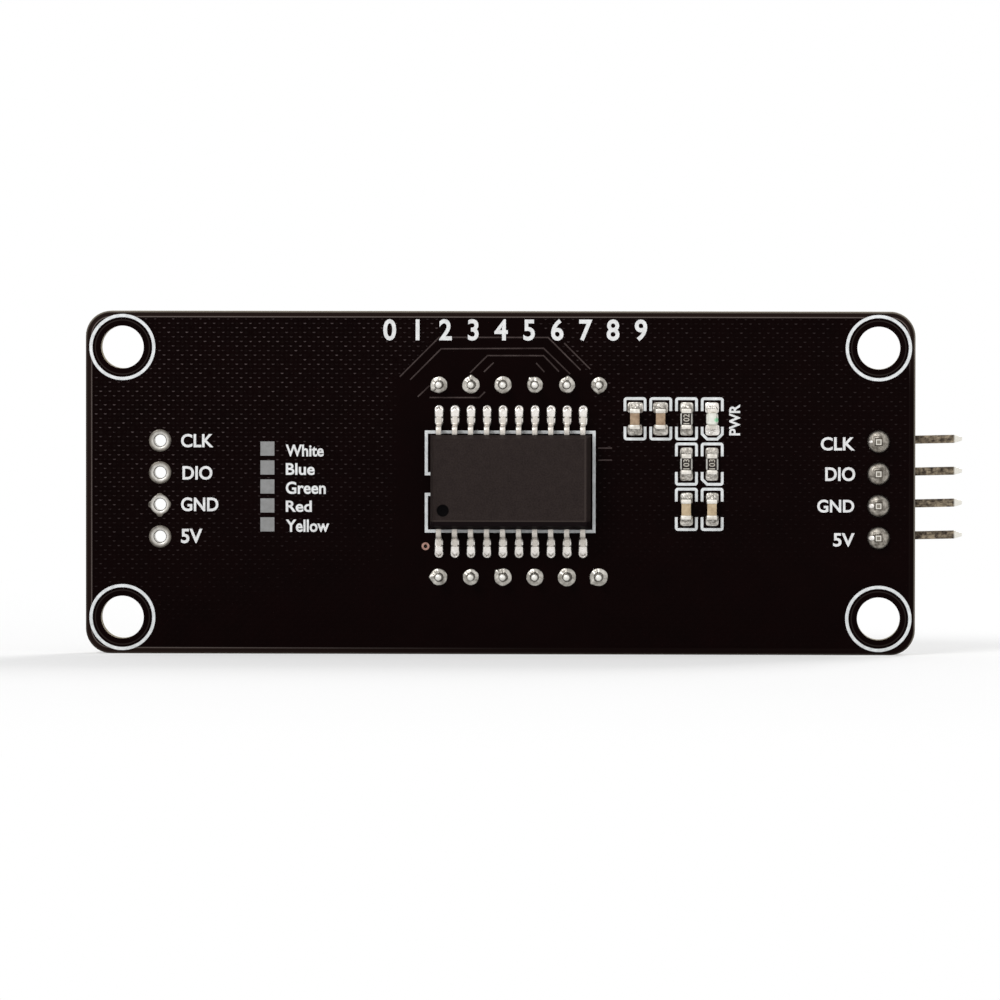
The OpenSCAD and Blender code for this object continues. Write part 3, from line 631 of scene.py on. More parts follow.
boardMaterial = makeBoardMaterial()
finishes = {}
for table, base, colourFrom in ((tinFinishes, tinBase, shadedTinColour), (dullFinishes, dullBase, dullColour)):
    for name, settings in table.items():
        whole = {**base, **settings}
        whole["coarse"] = whole["body"][2] * whole["coarseShare"]
        finishes[name] = makeMaterial(name, whole, colourFrom)
finishes["chipResin"] = makeMaterial("chipResin", chipFinish, chipColour)
finishes["headerPin"] = makeMaterial("headerPinPlating", pinFinish, pinColour)
finishes["tinnedRings"] = makeMaterial("tinnedRings", ringFinish, ringColour)
finishes["powerLightLens"] = makeMaterial("powerLightLens", lensFinish, lensColour)
print("materials made:", len(finishes) + 1)


# Carried-over nodes: a finish for each, and a rounded edge where the real piece has one
edgePlan = {"weld": 0.001, "steps": 2, "angle": 25}


def dressNode(name, material, edge=0.0):
    node = cadNodes[name]
    node.data.materials.clear()
    node.data.materials.append(material)
    if edge:
        weld = node.modifiers.new("joinCorners", "WELD")
        weld.merge_threshold = edgePlan["weld"] * mm
        bevel = node.modifiers.new("roundedEdge", "BEVEL")
        bevel.width = edge * mm
        bevel.segments = edgePlan["steps"]
        bevel.limit_method = "ANGLE"
        bevel.angle_limit = math.radians(edgePlan["angle"])
        bevel.use_clamp_overlap = True
        even = node.modifiers.new("evenShading", "WEIGHTED_NORMAL")
        even.keep_sharp = False


nodeFinishes = [
    # start of the node's name, finish, rounded edge in mm
    ("rear_print", "whitePrint", 0.0),
    ("front_print", "linePrint", 0.0),
    ("spare_lands", "tinnedRings", 0.0),
    ("via_land", "copperRing", 0.0),
    ("driver_body", "chipResin", 0.05),
    ("driver_leads", "tinnedLeads", 0.035),
    ("header_block", "headerPlastic", 0.06),
    ("header_pin", "headerPin", 0.04),
    ("display_shell", "displayPlastic", 0.0),
    ("display_face", "blackFace", 0.0),
    ("colon_lights", "lightResin", 0.0),
    ("light_bars", "lightResin", 0.0),
    ("carrier_board", "carrierLaminate", 0.0),
    ("led_dies", "dieCrystal", 0.0),
    ("potting", "pottingResin", 0.0),
    ("display_pin", "displayPinTin", 0.06),
    ("display_solder", "displayCones", 0.0),
    ("header_solder", "headerDomes", 0.0),
    ("driver_solder", "leadSolder", 0.0),
    ("small_part_solder", "tinnedEnds", 0.0),
    ("capacitor_ends", "tinnedEnds", 0.05),
    ("resistor_ends", "tinnedEnds", 0.03),
    ("power_light_ends", "tinnedEnds", 0.03),
    ("resistor_glaze", "resistorGlaze", 0.01),
    ("power_light_base", "lightBase", 0.03),
    ("power_light_lens", "powerLightLens", 0.05),
    ("capacitor_3", "paleCeramic", 0.05),
    ("capacitor_4", "paleCeramic", 0.05),
    ("capacitor", "capacitorCeramic", 0.05),
    ("resistor", "resistorCeramic", 0.02),
]
dressNode("circuit_board", boardMaterial)
for nodeName in cadNodes:
    for start, finish, edge in nodeFinishes:
        if nodeName.startswith(start):
            dressNode(nodeName, finishes[finish], edge)
            break
print("nodes dressed")


# New pieces
def meshFrom(name, build):
    shape = bmesh.new()
    build(shape)
    bmesh.ops.recalc_face_normals(shape, faces=shape.faces)
    mesh = bpy.data.meshes.new(name)
    shape.to_mesh(mesh)
    shape.free()
    return mesh


def addPiece(name, build, finish, standsFor=(), smooth=True):
    mesh = meshFrom(name, build)
    mesh.materials.append(finishes[finish])
    for polygon in mesh.polygons:
        polygon.use_smooth = smooth
    piece = bpy.data.objects.new(name, mesh)
    bpy.context.collection.objects.link(piece)
    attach(piece, "root")
    if standsFor:
        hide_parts(*standsFor)


# A closed mound of solder on the board: rings of points from the rim up to the crown
def addMound(shape, middle, rim, rise, rings=12, spokes=48):
    u0, v0 = middle
    circles = []
    for ring in range(rings):
        share = 1 - ring / rings
        circle = []
        for spoke in range(spokes):
            angle = 2 * math.pi * spoke / spokes
            du, dv = rim(angle)
            u, v = u0 + du * share, v0 + dv * share
            height = rise(share, angle, u - u0, v - v0) if ring else 0.0
            circle.append(shape.verts.new(rearPoint(u, v, height)))
        circles.append(circle)
    crown = shape.verts.new(rearPoint(u0, v0, rise(0.0, 0.0, 0.0, 0.0)))
    for lower, upper in zip(circles, circles[1:]):
        for i in range(spokes):
            j = (i + 1) % spokes
            shape.faces.new((lower[i], lower[j], upper[j], upper[i]))
    for i in range(spokes):
        shape.faces.new((circles[-1][i], circles[-1][(i + 1) % spokes], crown))
    shape.faces.new(list(reversed(circles[0])))


# A closed ring turned about a point: the section is a list of radius and height
def addTurnedRing(shape, middle, section, inner=0.0, reach=None, steps=72):
    u0, v0 = middle
    loops = []
    for step in range(steps):
        angle = 2 * math.pi * step / steps
        c, s = math.cos(angle), math.sin(angle)
        loop = []
        for r, h in section:
            # what lies outside the inner radius follows the ring's outline
            if reach and r > inner:
                r = inner + (r - inner) * reach(angle)
            loop.append(shape.verts.new(rearPoint(u0 + r * c, v0 + r * s, h)))
        loops.append(loop)
    for i in range(steps):
        one, two = loops[i], loops[(i + 1) % steps]
        for k in range(len(section)):
            m = (k + 1) % len(section)
            shape.faces.new((one[k], two[k], two[m], one[m]))


def roundedRim(halfWidth, halfLength, power=3.6):
    def rim(angle):
        c, s = math.cos(angle), math.sin(angle)
        scale = (abs(c / halfWidth) ** power + abs(s / halfLength) ** power) ** (-1 / power)
        return scale * c, scale * s
    return rim


# A round outline whose radius may change with the angle
def roundRim(reach):
    return lambda angle: (reach(angle) * math.cos(angle), reach(angle) * math.sin(angle))


layerGap = 3.7   # between the layers of noise of two seeds


# Smooth noise, -1 to 1; each seed has its own layer
def wobble(u, v, seed, scale):
    return noise.noise(Vector((u * scale, v * scale, seed * layerGap)))


def angleGap(a, b):
    return abs((a - b + math.pi) % (2 * math.pi) - math.pi)


def smoothStep(value):
    value = min(1.0, max(0.0, value))
    return value * value * (3 - 2 * value)


thinnest = 0.02   # mm, the least height of solder inside a rim

# Solder of the header pins: dull domes, with a raised spoke of brighter tin to the left of three of them, a
# painted highlight
headerJoint = {
    "radius": 0.9, "height": 0.6, "rimWobble": 0.02, "rimScale": 1.3,
    # the moat that the pin leaves round itself, and the dome's unevenness
    "pinHalf": 0.32, "moat": 0.05, "moatFrom": 0.04, "moatWidth": 0.05, "uneven": 0.03, "unevenScale": 3.1,
    # streaks of brighter tin to the left of three pins, raised, and a painted highlight: joint, half length,
    # half width
    "streaks": [(0, 0.24, 0.13), (2, 0.31, 0.2), (3, 0.33, 0.2)], "streakHeight": 0.075,
    "streakIn": 0.02,
    # power and share of the dome's round part and of its cone
    "round": (5, 0.55), "cone": (1.6, 0.45),
}


def domeShare(share):
    share = min(1.0, share)
    (roundPower, roundPart), (conePower, conePart) = headerJoint["round"], headerJoint["cone"]
    return (1 - share ** roundPower) ** 0.5 * roundPart + (1 - share ** conePower) * conePart


def buildHeaderJoints(shape):
    s = headerJoint
    for index, place in enumerate(rowPlaces(headerRow)):
        def reach(angle):
            uneven = s["rimWobble"] * wobble(math.cos(angle), math.sin(angle), index, s["rimScale"])
            return s["radius"] + uneven

        def rise(share, angle, du, dv):
            fromPin = max(abs(du), abs(dv))
            moat = s["moat"] * math.exp(-((fromPin - s["pinHalf"] - s["moatFrom"]) / s["moatWidth"]) ** 2)
            uneven = s["uneven"] * wobble(du, dv, index + 5, s["unevenScale"]) * (1 - share)
            return max(thinnest, s["height"] * domeShare(share) + uneven - moat)

        addMound(shape, place, roundRim(reach), rise, rings=20, spokes=64)


addPiece("header_solder_domes", buildHeaderJoints, "headerDomes", ("header_solder",))


def buildHighlightStreaks(shape):
    s = headerJoint
    places = rowPlaces(headerRow)
    for index, halfLength, halfWidth in s["streaks"]:
        away = s["radius"] - halfLength + s["streakIn"]

        def rise(share, angle, du, dv):
            under = s["height"] * domeShare(math.hypot(du - away, dv) / s["radius"])
            return max(thinnest, under + s["streakHeight"] * (1 - share ** 3) ** 0.5)

        u, v = places[index]
        addMound(shape, (u - away, v), roundedRim(halfLength, halfWidth, 2.4), rise)


# the streaks' brighter tin is a painted highlight
addPiece("header_tin_highlight_streaks", buildHighlightStreaks, "leadSolder", ("header_solder",))

# Solder of the display pins: small uneven cones, some with a burr of tin
displayJoint = {
    "pins": 12, "radius": 0.72, "spread": (0.9, 1.04), "rimWobble": 0.05, "rimScale": 1.7,
    # a low bright skirt with ridges, and a steep collar round the pin
    "height": 0.84, "collar": 0.40, "collarLean": 0.12, "collarStart": 0.12, "collarRun": 0.2,
    "collarShare": 0.72, "skirtEdge": 0.085, "skirt": 0.15, "ridges": 9, "ridgeHeight": 0.014,
    "uneven": 0.035, "unevenScale": 4.2, "spikeWidth": 0.25, "spikeReach": 0.13, "spikeHeight": 0.09,
    # joints of the upper row and then the lower row, from the photograph's left, to angles in degrees
    "burrs": {0: 215, 1: 90, 3: 130, 4: 85, 5: 265, 6: 180, 8: 135, 11: 220},
}


def displayPlaces():
    places = [rearPlaceOf("display_pin_%d" % (i + 1)) for i in range(displayJoint["pins"])]
    return sorted(places, key=lambda place: (-round(place[1]), place[0]))


def buildDisplayJoints(shape):
    dice = random.Random(7)
    s = displayJoint
    for index, place in enumerate(displayPlaces()):
        radius = s["radius"] * dice.uniform(*s["spread"])
        lean = dice.uniform(0, 2 * math.pi)
        burr = s["burrs"].get(index)

        def burrAt(angle):
            if burr is None:
                return 0.0
            return math.exp(-(angleGap(angle, math.radians(burr)) / s["spikeWidth"]) ** 2)

        def reach(angle):
            uneven = s["rimWobble"] * wobble(math.cos(angle), math.sin(angle), index + 20, s["rimScale"])
            return radius * (1 + uneven) + s["spikeReach"] * burrAt(angle)

        def rise(share, angle, du, dv):
            skirt = s["skirtEdge"] * (1 - share ** 4) ** 0.5 + s["skirt"] * (1 - share)
            ridge = math.sin(s["ridges"] * angle + 5 * lean + 1.5 * math.sin(3 * angle))
            skirt += s["ridgeHeight"] * ridge * 4 * share * (1 - share)
            start = s["collar"] * (1 + s["collarLean"] * math.cos(angle - lean))
            climb = smoothStep((start + s["collarStart"] - share) / s["collarRun"])
            uneven = s["uneven"] * wobble(du, dv, index + 31, s["unevenScale"]) * (1 - share)
            spike = s["spikeHeight"] * burrAt(angle) * (1 - share ** 8) * share
            return max(thinnest, skirt + s["height"] * s["collarShare"] * climb + uneven + spike)

        addMound(shape, place, roundRim(reach), rise, rings=22, spokes=64)


addPiece("display_solder_cones", buildDisplayJoints, "displayCones", ("display_solder",))

# The thin coat of tin that rounds the end of each display pin
pinCoat = {"radius": 0.3, "shoulder": 1.06, "crown": 0.24, "rings": 16, "spokes": 40}


def buildPinCoats(shape):
    def rise(share, angle, du, dv):
        return pinCoat["shoulder"] + pinCoat["crown"] * (1 - share ** 2) ** 0.5

    rim = roundRim(lambda angle: pinCoat["radius"])
    for place in displayPlaces():
        addMound(shape, place, rim, rise, pinCoat["rings"], pinCoat["spokes"])


addPiece("display_pin_coats", buildPinCoats, "displayPinTin")
print("pin joints made")

# Solder at the driver's leads: a rounded pad that climbs the tip of each foot
leadJoint = {
    "count": 10, "pitch": 1.27, "middleX": 0.88, "middleZ": 0.1, "outer": 6.1,
    "length": 1.78, "width": 0.85, "widthSpread": (0.96, 1.03), "taper": 0.22,
    # the pool covers the toe, and thinner solder wets the sides of the foot
    "poolHeight": 0.34, "sideHeight": 0.2, "tipAt": 0.9, "tipGap": 0.03, "tipRun": 0.14, "least": 0.015,
    "uneven": 0.02, "unevenScale": 5,
    # a small arched dent near the outer end
    "arcRadius": 0.22, "arcDepth": 0.17, "arcWidth": 0.055, "arcReach": 0.23,
}


# A pad with straight sides and round ends, narrower at its inner end
def padRim(halfWidth, halfLength, side, taper):
    straight = halfLength - halfWidth

    def rim(angle):
        c, s = math.cos(angle), math.sin(angle)
        if abs(s) * halfWidth <= abs(c) * straight:
            reach = halfWidth / abs(c)
        else:
            along = abs(s) * straight
            reach = along + (along * along - straight * straight + halfWidth * halfWidth) ** 0.5
        u, v = reach * c, reach * s
        return u * (1 - taper * (0.5 - side * v / (2 * halfLength))), v
    return rim


def buildLeadSolder(shape):
    dice = random.Random(11)
    s = leadJoint
    for side in (1, -1):
        for index in range(s["count"]):
            u = s["middleX"] + (index - (s["count"] - 1) / 2) * s["pitch"]
            v = s["middleZ"] + side * (s["outer"] - s["length"] / 2)
            width = s["width"] * dice.uniform(*s["widthSpread"])
            seed = dice.uniform(0, 50)

            def rise(share, angle, du, dv):
                fromTip = s["length"] - (side * dv + s["length"] / 2)
                past = smoothStep((fromTip - s["tipAt"] - s["tipGap"]) / s["tipRun"])
                height = s["poolHeight"] + (s["sideHeight"] - s["poolHeight"]) * past
                toTip = width / 2 - fromTip
                away = (math.hypot(du, toTip) - s["arcRadius"]) / s["arcWidth"]
                dent = s["arcDepth"] * math.exp(-away ** 2 - (du / s["arcReach"]) ** 4) if toTip > 0 else 0.0
                uneven = s["uneven"] * wobble(du, dv, seed, s["unevenScale"])
                return max(s["least"], height * (1 - share ** 4) ** 0.5 - dent + uneven)

            rim = padRim(width / 2, s["length"] / 2, side, s["taper"])
            addMound(shape, (u, v), rim, rise, rings=32, spokes=64)


addPiece("driver_solder_pads", buildLeadSolder, "leadSolder", ("driver_solder",))
print("lead joints made")

# Solder of the small parts: a pad beyond each end that climbs the end's face
chipJoint = {
    "width": 1.06, "length": 0.92, "rim": 0.09, "most": 0.52, "belowTop": 0.01, "reach": 1.33, "corner": 4.5,
    "widths": {"capacitor_1": 1.26, "capacitor_2": 1.24, "power_light_base": 1.16},
    "widthSpread": (0.95, 1.02), "shift": 0.03,
    # the solder falls off beyond the end's face, lies low under the part, and is lumpy
    "endFace": 0.39, "fallLength": 0.2, "underPart": 0.3, "underShare": 0.5, "sideHalf": 0.44,
    "lump": 0.08, "lumpScales": (5, 9),
}
chipNames = ["capacitor_%d" % i for i in range(1, 5)] + ["resistor_%d" % i for i in range(1, 4)]
chipNames.append("power_light_base")


def buildPartSolder(shape, names, seedValue):
    dice = random.Random(seedValue)
    s = chipJoint
    for name in names:
        u, v = rearPlaceOf(name)
        if name == "power_light_base":
            endsName = "power_light_ends"
        else:
            endsName = name.replace("_", "_ends_")
        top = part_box(endsName)[1].y / mm - boardThick
        peak = min(s["most"], top - s["belowTop"])
        for side in (1, -1):
            width = s["widths"].get(name, s["width"]) * dice.uniform(*s["widthSpread"])
            seed = dice.uniform(0, 50)
            shift = dice.uniform(-s["shift"], s["shift"])

            def rise(share, angle, du, dv):
                fromPart = side * dv + s["length"] / 2
                beyond = max(0.0, fromPart - s["endFace"])
                lying = 1.0 if fromPart > s["underPart"] else s["underShare"]
                fall = math.exp(-beyond / s["fallLength"]) * lying
                sides = math.exp(-(du / s["sideHalf"]) ** 4)
                large, small = s["lumpScales"]
                lumps = s["lump"] * (wobble(du, dv, seed, large) + wobble(du, dv, seed + 9, small))
                height = s["rim"] + (peak - s["rim"]) * fall * sides + lumps
                return max(thinnest, height * (1 - share ** 3) ** 0.55)

            middle = v + side * (s["reach"] - s["length"] / 2)
            rim = roundedRim(width / 2, s["length"] / 2, s["corner"])
            addMound(shape, (u + shift, middle), rim, rise, rings=20, spokes=64)


def buildLightSolder(shape):
    buildPartSolder(shape, chipNames[-1:], 41)


def buildSmallSolder(shape):
    buildPartSolder(shape, chipNames[:-1], 23)


addPiece("power_light_solder", buildLightSolder, "leadSolder", ("small_part_solder",))
addPiece("small_part_solder_pads", buildSmallSolder, "chipSolder", ("small_part_solder",))

# The milky middle of the power light, wider than the lens on it, and the pale flanks of the resistors
lightBody = {"halfWidth": 0.5, "halfLength": 0.46, "height": 0.52, "corner": 7.0, "round": 9}
flanks = {"halfWidth": 0.5, "halfLength": 0.5, "under": 0.035, "corner": 9.0, "round": 12, "count": 3}


def buildBlock(shape, place, s, height):
    def rise(share, angle, du, dv):
        return max(thinnest, height * (1 - share ** s["round"]) ** 0.4)

    rim = roundedRim(s["halfWidth"], s["halfLength"], s["corner"])
    addMound(shape, place, rim, rise, rings=14, spokes=56)


def buildLightBody(shape):
    buildBlock(shape, rearPlaceOf("power_light_base"), lightBody, lightBody["height"])


def buildFlanks(shape):
    for index in range(flanks["count"]):
        glaze = "resistor_glaze_%d" % (index + 1)
        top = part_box(glaze)[1].y / mm - boardThick
        buildBlock(shape, rearPlaceOf(glaze), flanks, top - flanks["under"])


addPiece("power_light_body", buildLightBody, "powerLightLens")
addPiece("resistor_flanks", buildFlanks, "resistorCeramic")
print("small joints made")

# Edges of the traces under the mask, as fine ribs in a lighter finish that is a painted highlight
tracePlan = {
    "width": 0.05, "height": 0.025, "slope": 0.03,
    # pixels of the photograph, each run from end to end
    "runs": [
        [(399.6, 377), (439, 337.5), (548, 337.5), (580.5, 370)],
        [(410, 380), (441, 349), (543.5, 348.3), (570, 374)],
        [(470, 373), (487.3, 355.7), (543.5, 355.7), (558.8, 371.5)],
        [(483.8, 372), (493.6, 362.7)],
        [(536, 363), (544.3, 372)],
        [(564, 343), (590, 369)],
        [(417.7, 397), (429.5, 385.8)],
        [(429.5, 397.7), (479, 397.7), (485, 392)],
        [(598, 448), (612, 448)],
        [(598, 460), (612, 460)],
    ],
}


mitreLimit = 0.5   # a sharp corner is at most twice as wide as its rib


# A rib along a line of points, mitred at its corners
def addRib(shape, points, width, height, slope):
    count = len(points)
    section = [(-width / 2 - slope, 0.0), (-width / 2, height), (width / 2, height), (width / 2 + slope, 0.0)]
    rows = []
    for i, (u, v) in enumerate(points):
        before = Vector(points[i]) - Vector(points[i - 1]) if i else None
        after = Vector(points[i + 1]) - Vector(points[i]) if i < count - 1 else None
        first = (before or after).normalized()
        second = (after or before).normalized()
        along = (first + second).normalized()
        normal = Vector((-along.y, along.x)) / max(mitreLimit, along.dot(first))
        rows.append([shape.verts.new(rearPoint(u + normal.x * a, v + normal.y * a, h)) for a, h in section])
    for one, two in zip(rows, rows[1:]):
        for k in range(len(section)):
            m = (k + 1) % len(section)
            shape.faces.new((one[k], one[m], two[m], two[k]))
    shape.faces.new(list(reversed(rows[0])))
    shape.faces.new(rows[-1])


def buildTraces(shape):
    for run in tracePlan["runs"]:
        addRib(shape, [fromPixel(*p) for p in run], tracePlan["width"], tracePlan["height"],
               tracePlan["slope"])


# Printed lines: rings, the chip's outline, the brackets of the small parts and the legend squares
linePlan = {
    "height": 0.03, "width": 0.2, "slope": 0.015, "corner": 0.15, "cornerSteps": (0.0, 0.3, 0.7, 1.0),
    "cutCorner": 0.4, "cutSteps": (0.0, 1.0),
    "outline": {"left": 426.3, "right": 594.0, "top": 432.2, "bottom": 531.3, "gap": (474.0, 494.6),
                "hook": 430.5, "width": 0.225},
    "bracket": {"halfWide": 0.795, "halfTall": 1.6, "leg": 0.62},
    "ring": {"inner": 2.37, "outer": 2.63, "slope": 0.02},
    "legend": {"x": 267.1, "y": [449.05, 468.0, 487.0, 506.0, 524.95], "half": 7.0, "slope": 0.01},
    # bracket corners that are cut straight: part, upper or lower, left or right
    "cut": [("power_light_base", -1, -1), ("power_light_base", -1, 1), ("resistor_3", -1, -1)],
}


def buildLines(shape):
    s = linePlan
    o = s["outline"]
    points = [(o["hook"], o["gap"][0]), (o["left"], o["gap"][0]), (o["left"], o["top"]),
              (o["right"], o["top"]), (o["right"], o["bottom"]), (o["left"], o["bottom"]),
              (o["left"], o["gap"][1]), (o["hook"], o["gap"][1])]
    addRib(shape, [fromPixel(*p) for p in points], o["width"], s["height"], s["slope"])
    b = s["bracket"]
    for name in chipNames:
        u, v = rearPlaceOf(name)
        for side in (1, -1):
            cuts = [s["cutCorner"] if (name, side, way) in s["cut"] else s["corner"] for way in (-1, 1)]
            tall, wide = side * b["halfTall"], b["halfWide"]
            points = [(-wide, side * b["leg"])]
            for way, cut in zip((-1, 1), cuts):
                steps = s["cutSteps"] if cut == s["cutCorner"] else s["cornerSteps"]
                corner = [(way * (wide - cut * k * k), tall - side * cut * (1 - k) ** 2) for k in steps]
                points += corner if way < 0 else corner[::-1]
            points.append((wide, side * b["leg"]))
            addRib(shape, [(u + du, v + dv) for du, dv in points], s["width"], s["height"], s["slope"])
    r = s["ring"]
    h = s["height"]
    section = [(r["inner"], 0.0), (r["inner"] + r["slope"], h), (r["outer"] - r["slope"], h),
               (r["outer"], 0.0)]
    for x in (-boardSize["holeX"], boardSize["holeX"]):
        for z in (-boardSize["holeZ"], boardSize["holeZ"]):
            addTurnedRing(shape, (x, z), section)


def buildLegend(shape):
    s = linePlan["legend"]
    for y in s["y"]:
        row = [fromPixel(s["x"] - s["half"], y), fromPixel(s["x"] + s["half"], y)]
        addRib(shape, row, 2 * s["half"] / pxPerMm, linePlan["height"], s["slope"])


addPiece("printed_lines", buildLines, "linePrint", ("rear_print",), smooth=False)
addPiece("legend_squares", buildLegend, "legendPrint", smooth=False)

# Tinned rings and linings of the spare holes
spareRings = {
    # radius and height of the rim, the slope and the lining, and the lining's back
    "section": [(0.89, -0.005), (0.885, 0.025), (0.85, 0.05), (0.76, 0.07), (0.68, 0.07), (0.60, 0.055),
                (0.54, 0.03), (0.495, -0.02), (0.468, -0.12), (0.458, -0.3), (0.455, -0.5)],
    "back": (0.477, 0.002), "inner": 0.5, "uneven": 0.03, "unevenScale": 1.9, "steps": 120,
    # the third ring is narrower, with a spoke of tin on each side: angle in degrees and reach
    "spokedRing": 2, "narrow": 0.74, "spokeWidth": 0.3,
    "spokes": [(92, 0.3), (180, 0.42), (268, 0.5), (2, 0.22)],
}


def buildSpareRings(shape):
    s = spareRings
    mirrored = [(r, -boardThick - h) for r, h in reversed(s["section"])]
    radius, inset = s["back"]
    section = s["section"] + mirrored + [(radius, inset - boardThick), (radius, -inset)]
    for index, place in enumerate(rowPlaces(spareRow)):
        def reach(angle):
            share = 1 + s["uneven"] * wobble(math.cos(angle), math.sin(angle), index + 3, s["unevenScale"])
            if index == s["spokedRing"]:
                share *= s["narrow"]
                for turn, length in s["spokes"]:
                    gap = angleGap(angle, math.radians(turn)) / s["spokeWidth"]
                    share += length * math.exp(-gap ** 4)
            return share

        addTurnedRing(shape, place, section, s["inner"], reach, s["steps"])


addPiece("spare_hole_rings", buildSpareRings, "tinnedRings", ("spare_lands",))
print("printed lines made")

addPiece("masked_traces", buildTraces, "traceEdgeHighlight", smooth=False)
print("traces made")


# Printed words, each fitted to the box that it fills in the photograph
def wordMesh(text, weight):
    curve = bpy.data.curves.new("word", "FONT")
    curve.body = text
    curve.size = 1.0
    curve.offset = weight
    curve.resolution_u = 4
    holder = bpy.data.objects.new("word", curve)
    bpy.context.collection.objects.link(holder)
    bpy.context.view_layer.update()
    evaluated = holder.evaluated_get(bpy.context.evaluated_depsgraph_get())
    flat = bpy.data.meshes.new_from_object(evaluated)
    bpy.data.objects.remove(holder)
    bpy.data.curves.remove(curve)
    return flat


def addWord(shape, text, box, weight=0.024, turned=False, base=0.0, thick=0.03):
    flat = wordMesh(text, weight)
    xs = [v.co.x for v in flat.vertices]
    ys = [v.co.y for v in flat.vertices]
    x0, y0 = min(xs), min(ys)
    wide, tall = max(xs) - x0, max(ys) - y0
    (u0, v1), (u1, v0) = fromPixel(box[0], box[1]), fromPixel(box[2], box[3])

    def spot(co, h):
        a, b = (co.x - x0) / wide, (co.y - y0) / tall
        if turned:   # reads from the bottom to the top
            a, b = 1 - b, a
        return rearPoint(u0 + (u1 - u0) * a, v0 + (v1 - v0) * b, h)

    top = [shape.verts.new(spot(v.co, base + thick)) for v in flat.vertices]
    low = [shape.verts.new(spot(v.co, base)) for v in flat.vertices]
    uses = {}
    for polygon in flat.polygons:
        corners = list(polygon.vertices)
        shape.faces.new([top[i] for i in corners])
        shape.faces.new([low[i] for i in reversed(corners)])
        for a, b in zip(corners, corners[1:] + corners[:1]):
            uses[(a, b)] = uses.get((a, b), 0) + 1
    for a, b in uses:
        if (b, a) not in uses:
            shape.faces.new((top[b], top[a], low[a], low[b]))
    bpy.data.meshes.remove(flat)


words = {
    "left": [("CLK", (180.5, 434.5, 213, 448)), ("DIO", (182, 466.6, 212, 480.4)),
             ("GND", (180.5, 498, 218, 512)), ("5V", (180.5, 529.5, 202, 544))],
    "right": [("CLK", (820.5, 436.5, 854.5, 450)), ("DIO", (825, 466.5, 855, 480.5)),
              ("GND", (817, 499, 854, 512)), ("5V", (833, 532.5, 854.5, 546))],
    "colours": [("White", (285.5, 445, 323.5, 457)), ("Blue", (285.5, 463.5, 314.5, 475.5)),
                ("Green", (285.5, 482, 325.6, 494.5)), ("Red", (285.5, 501, 311.6, 512.5)),
                ("Yellow", (285.5, 520, 329, 532.5))],
    "title": [("0  1  2  3  4  5  6  7  8  9", (383, 319, 647, 341))],
}
for groupName, entries in words.items():
    def buildWords(shape):
        for text, box in entries:
            addWord(shape, text, box)

    addPiece("words_" + groupName, buildWords, "whitePrint", smooth=False)


def buildPowerWord(shape):
    addWord(shape, "PWR", (729, 404, 740, 435), turned=True)


addPiece("word_power", buildPowerWord, "whitePrint", smooth=False)

resistorMarks = {
    "marks": [("resistor_1", "102"), ("resistor_2", "103"), ("resistor_3", "103")],
    "long": 0.8, "high": 0.48, "weight": 0.008, "thick": 0.008,
}


def buildResistorMarks(shape):
    s = resistorMarks
    for node, text in s["marks"]:
        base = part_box(node.replace("resistor", "resistor_glaze"))[1].y / mm - boardThick
        u, v = rearPlaceOf(node)
        px, py = boardMiddle[0] + u * pxPerMm, boardMiddle[1] - v * pxPerMm
        a, b = s["high"] / 2 * pxPerMm, s["long"] / 2 * pxPerMm
        addWord(shape, text, (px - a, py - b, px + a, py + b), s["weight"], True, base, s["thick"])


addPiece("resistor_marks", buildResistorMarks, "markPrint", smooth=False)
print("print made")


# Studio
stagePlan = {"floorZ": -0.0136, "size": 1.6, "fadeFrom": 0.05, "fadeTo": 0.15, "nearShare": 0.4}
floorFinish = {
    "tone": {"Light": (0.90, 0.90, 0.90, 1), "Dark": (0.86, 0.86, 0.86, 1), "Scale": 6.0, "Sharpness": 0.4},
    "grain": 200.0, "coarse": 30.0, "blend": 0.5, "rough": 0.9, "roughSpread": 0.0, "bump": 0.02,
    "depth": 0.0001,
}


# 1 where the camera, a mirror or clear matter looks straight at a thing, and 0 for its light on others
def lookedAt(tree):
    path = addNode(tree, "LightPath", {})
    seen = larger(path.outputs["Is Camera Ray"], path.outputs["Is Glossy Ray"])
    return larger(seen, path.outputs["Is Transmission Ray"])


# Pale to the camera, and still holds the object's shadow
def makeStageMaterial():
    material, tree, shader = newMaterial("paleFloor")
    tone = placeGroup(tree, mottleGroup, **floorFinish["tone"])
    finishSurface(tree, shader, tone.outputs["Color"], floorFinish)
    away = addNode(tree, "VectorMath", {0: objectPlace(tree)}, operation="LENGTH")
    far = rampBetween(away.outputs["Value"], stagePlan["fadeFrom"], stagePlan["fadeTo"])
    glowShare = plus(times(far, 1 - stagePlan["nearShare"]), stagePlan["nearShare"])
    glow = addNode(tree, "Emission", {"Strength": 1.0})
    inputs = {0: times(lookedAt(tree), glowShare), 1: shader.outputs[0], 2: glow.outputs[0]}
    mix = addNode(tree, "MixShader", inputs)
    output = [node for node in tree.nodes if node.bl_idname == "ShaderNodeOutputMaterial"][0]
    tree.links.new(mix.outputs[0], output.inputs["Surface"])
    return material


def addStagePlane(name, corners, material):
    shape = bmesh.new()
    shape.faces.new([shape.verts.new(corner) for corner in corners])
    mesh = bpy.data.meshes.new(name)
    shape.to_mesh(mesh)
    shape.free()
    mesh.materials.append(material)
    plane = bpy.data.objects.new(name, mesh)
    bpy.context.collection.objects.link(plane)


half = stagePlan["size"] / 2
floorCorners = [(half * a, half * b, stagePlan["floorZ"]) for a, b in ((-1, -1), (1, -1), (1, 1), (-1, 1))]
addStagePlane("floor", floorCorners, makeStageMaterial())

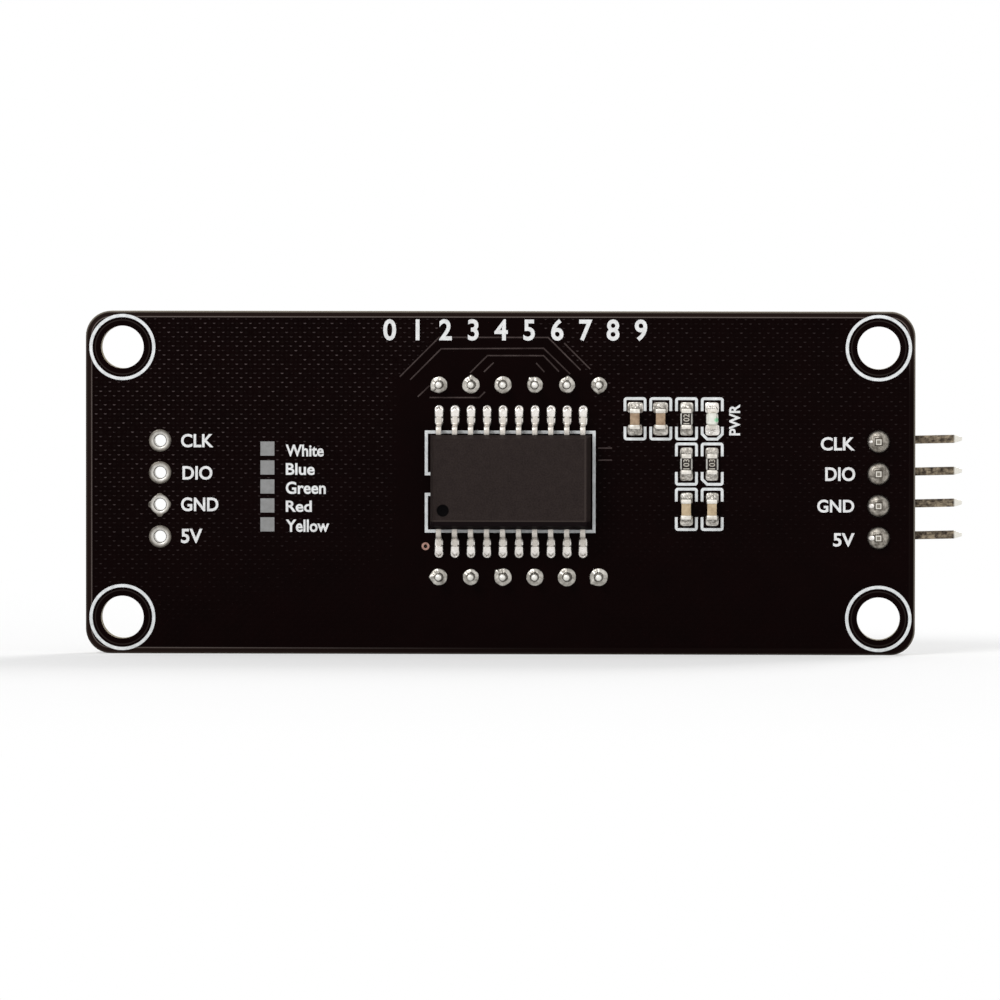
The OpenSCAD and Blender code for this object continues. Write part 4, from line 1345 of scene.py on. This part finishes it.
worldPlan = {"light": 0.5, "seen": 1.0}   # strength of its light on the object, and as the camera sees it


def setWorld():
    world = bpy.data.worlds.new("studio")
    bpy.context.scene.world = world
    world.use_nodes = True
    tree = world.node_tree
    background = tree.nodes["Background"]
    background.inputs["Color"].default_value = (1, 1, 1, 1)
    background.inputs["Strength"].default_value = worldPlan["light"]
    white = addNode(tree, "Background", {"Color": (1, 1, 1, 1), "Strength": worldPlan["seen"]})
    mix = addNode(tree, "MixShader", {0: lookedAt(tree), 1: background.outputs[0], 2: white.outputs[0]})
    tree.links.new(mix.outputs[0], tree.nodes["World Output"].inputs["Surface"])


lamps = {
    # place in metres, size, power
    "keyRear": ((0.35, 0.55, 0.6), 0.35, 3.4),
    "keyFront": ((-0.35, -0.55, 0.5), 0.35, 3.4),
}


def addLamps():
    for name, (place, size, power) in lamps.items():
        lamp = bpy.data.lights.new(name, "AREA")
        lamp.size = size
        lamp.energy = power
        holder = bpy.data.objects.new(name, lamp)
        holder.location = place
        holder.rotation_euler = (-Vector(place)).to_track_quat("-Z", "Y").to_euler()
        bpy.context.collection.objects.link(holder)


cameraPlan = {
    "place": (-0.027, 0.8016, 0.023), "target": (0.0, 0.0016, -0.00136), "frameWidth": 0.0793,
    "roll": 0.06, "sensor": 36, "nearest": 0.01,
}


def addCamera():
    place, target = Vector(cameraPlan["place"]), Vector(cameraPlan["target"])
    data = bpy.data.cameras.new("photoCamera")
    data.sensor_width = cameraPlan["sensor"]
    data.lens = cameraPlan["sensor"] * (target - place).length / cameraPlan["frameWidth"]
    data.clip_start = cameraPlan["nearest"]
    camera = bpy.data.objects.new("photoCamera", data)
    camera.location = place
    turn = (target - place).to_track_quat("-Z", "Y").to_euler()
    turn.rotate_axis("Z", math.radians(cameraPlan["roll"]))
    camera.rotation_euler = turn
    bpy.context.collection.objects.link(camera)
    bpy.context.scene.camera = camera


setWorld()
addLamps()
addCamera()
bpy.context.scene.view_settings.view_transform = "Standard"
print("studio set")

bpy.context.view_layer.update()
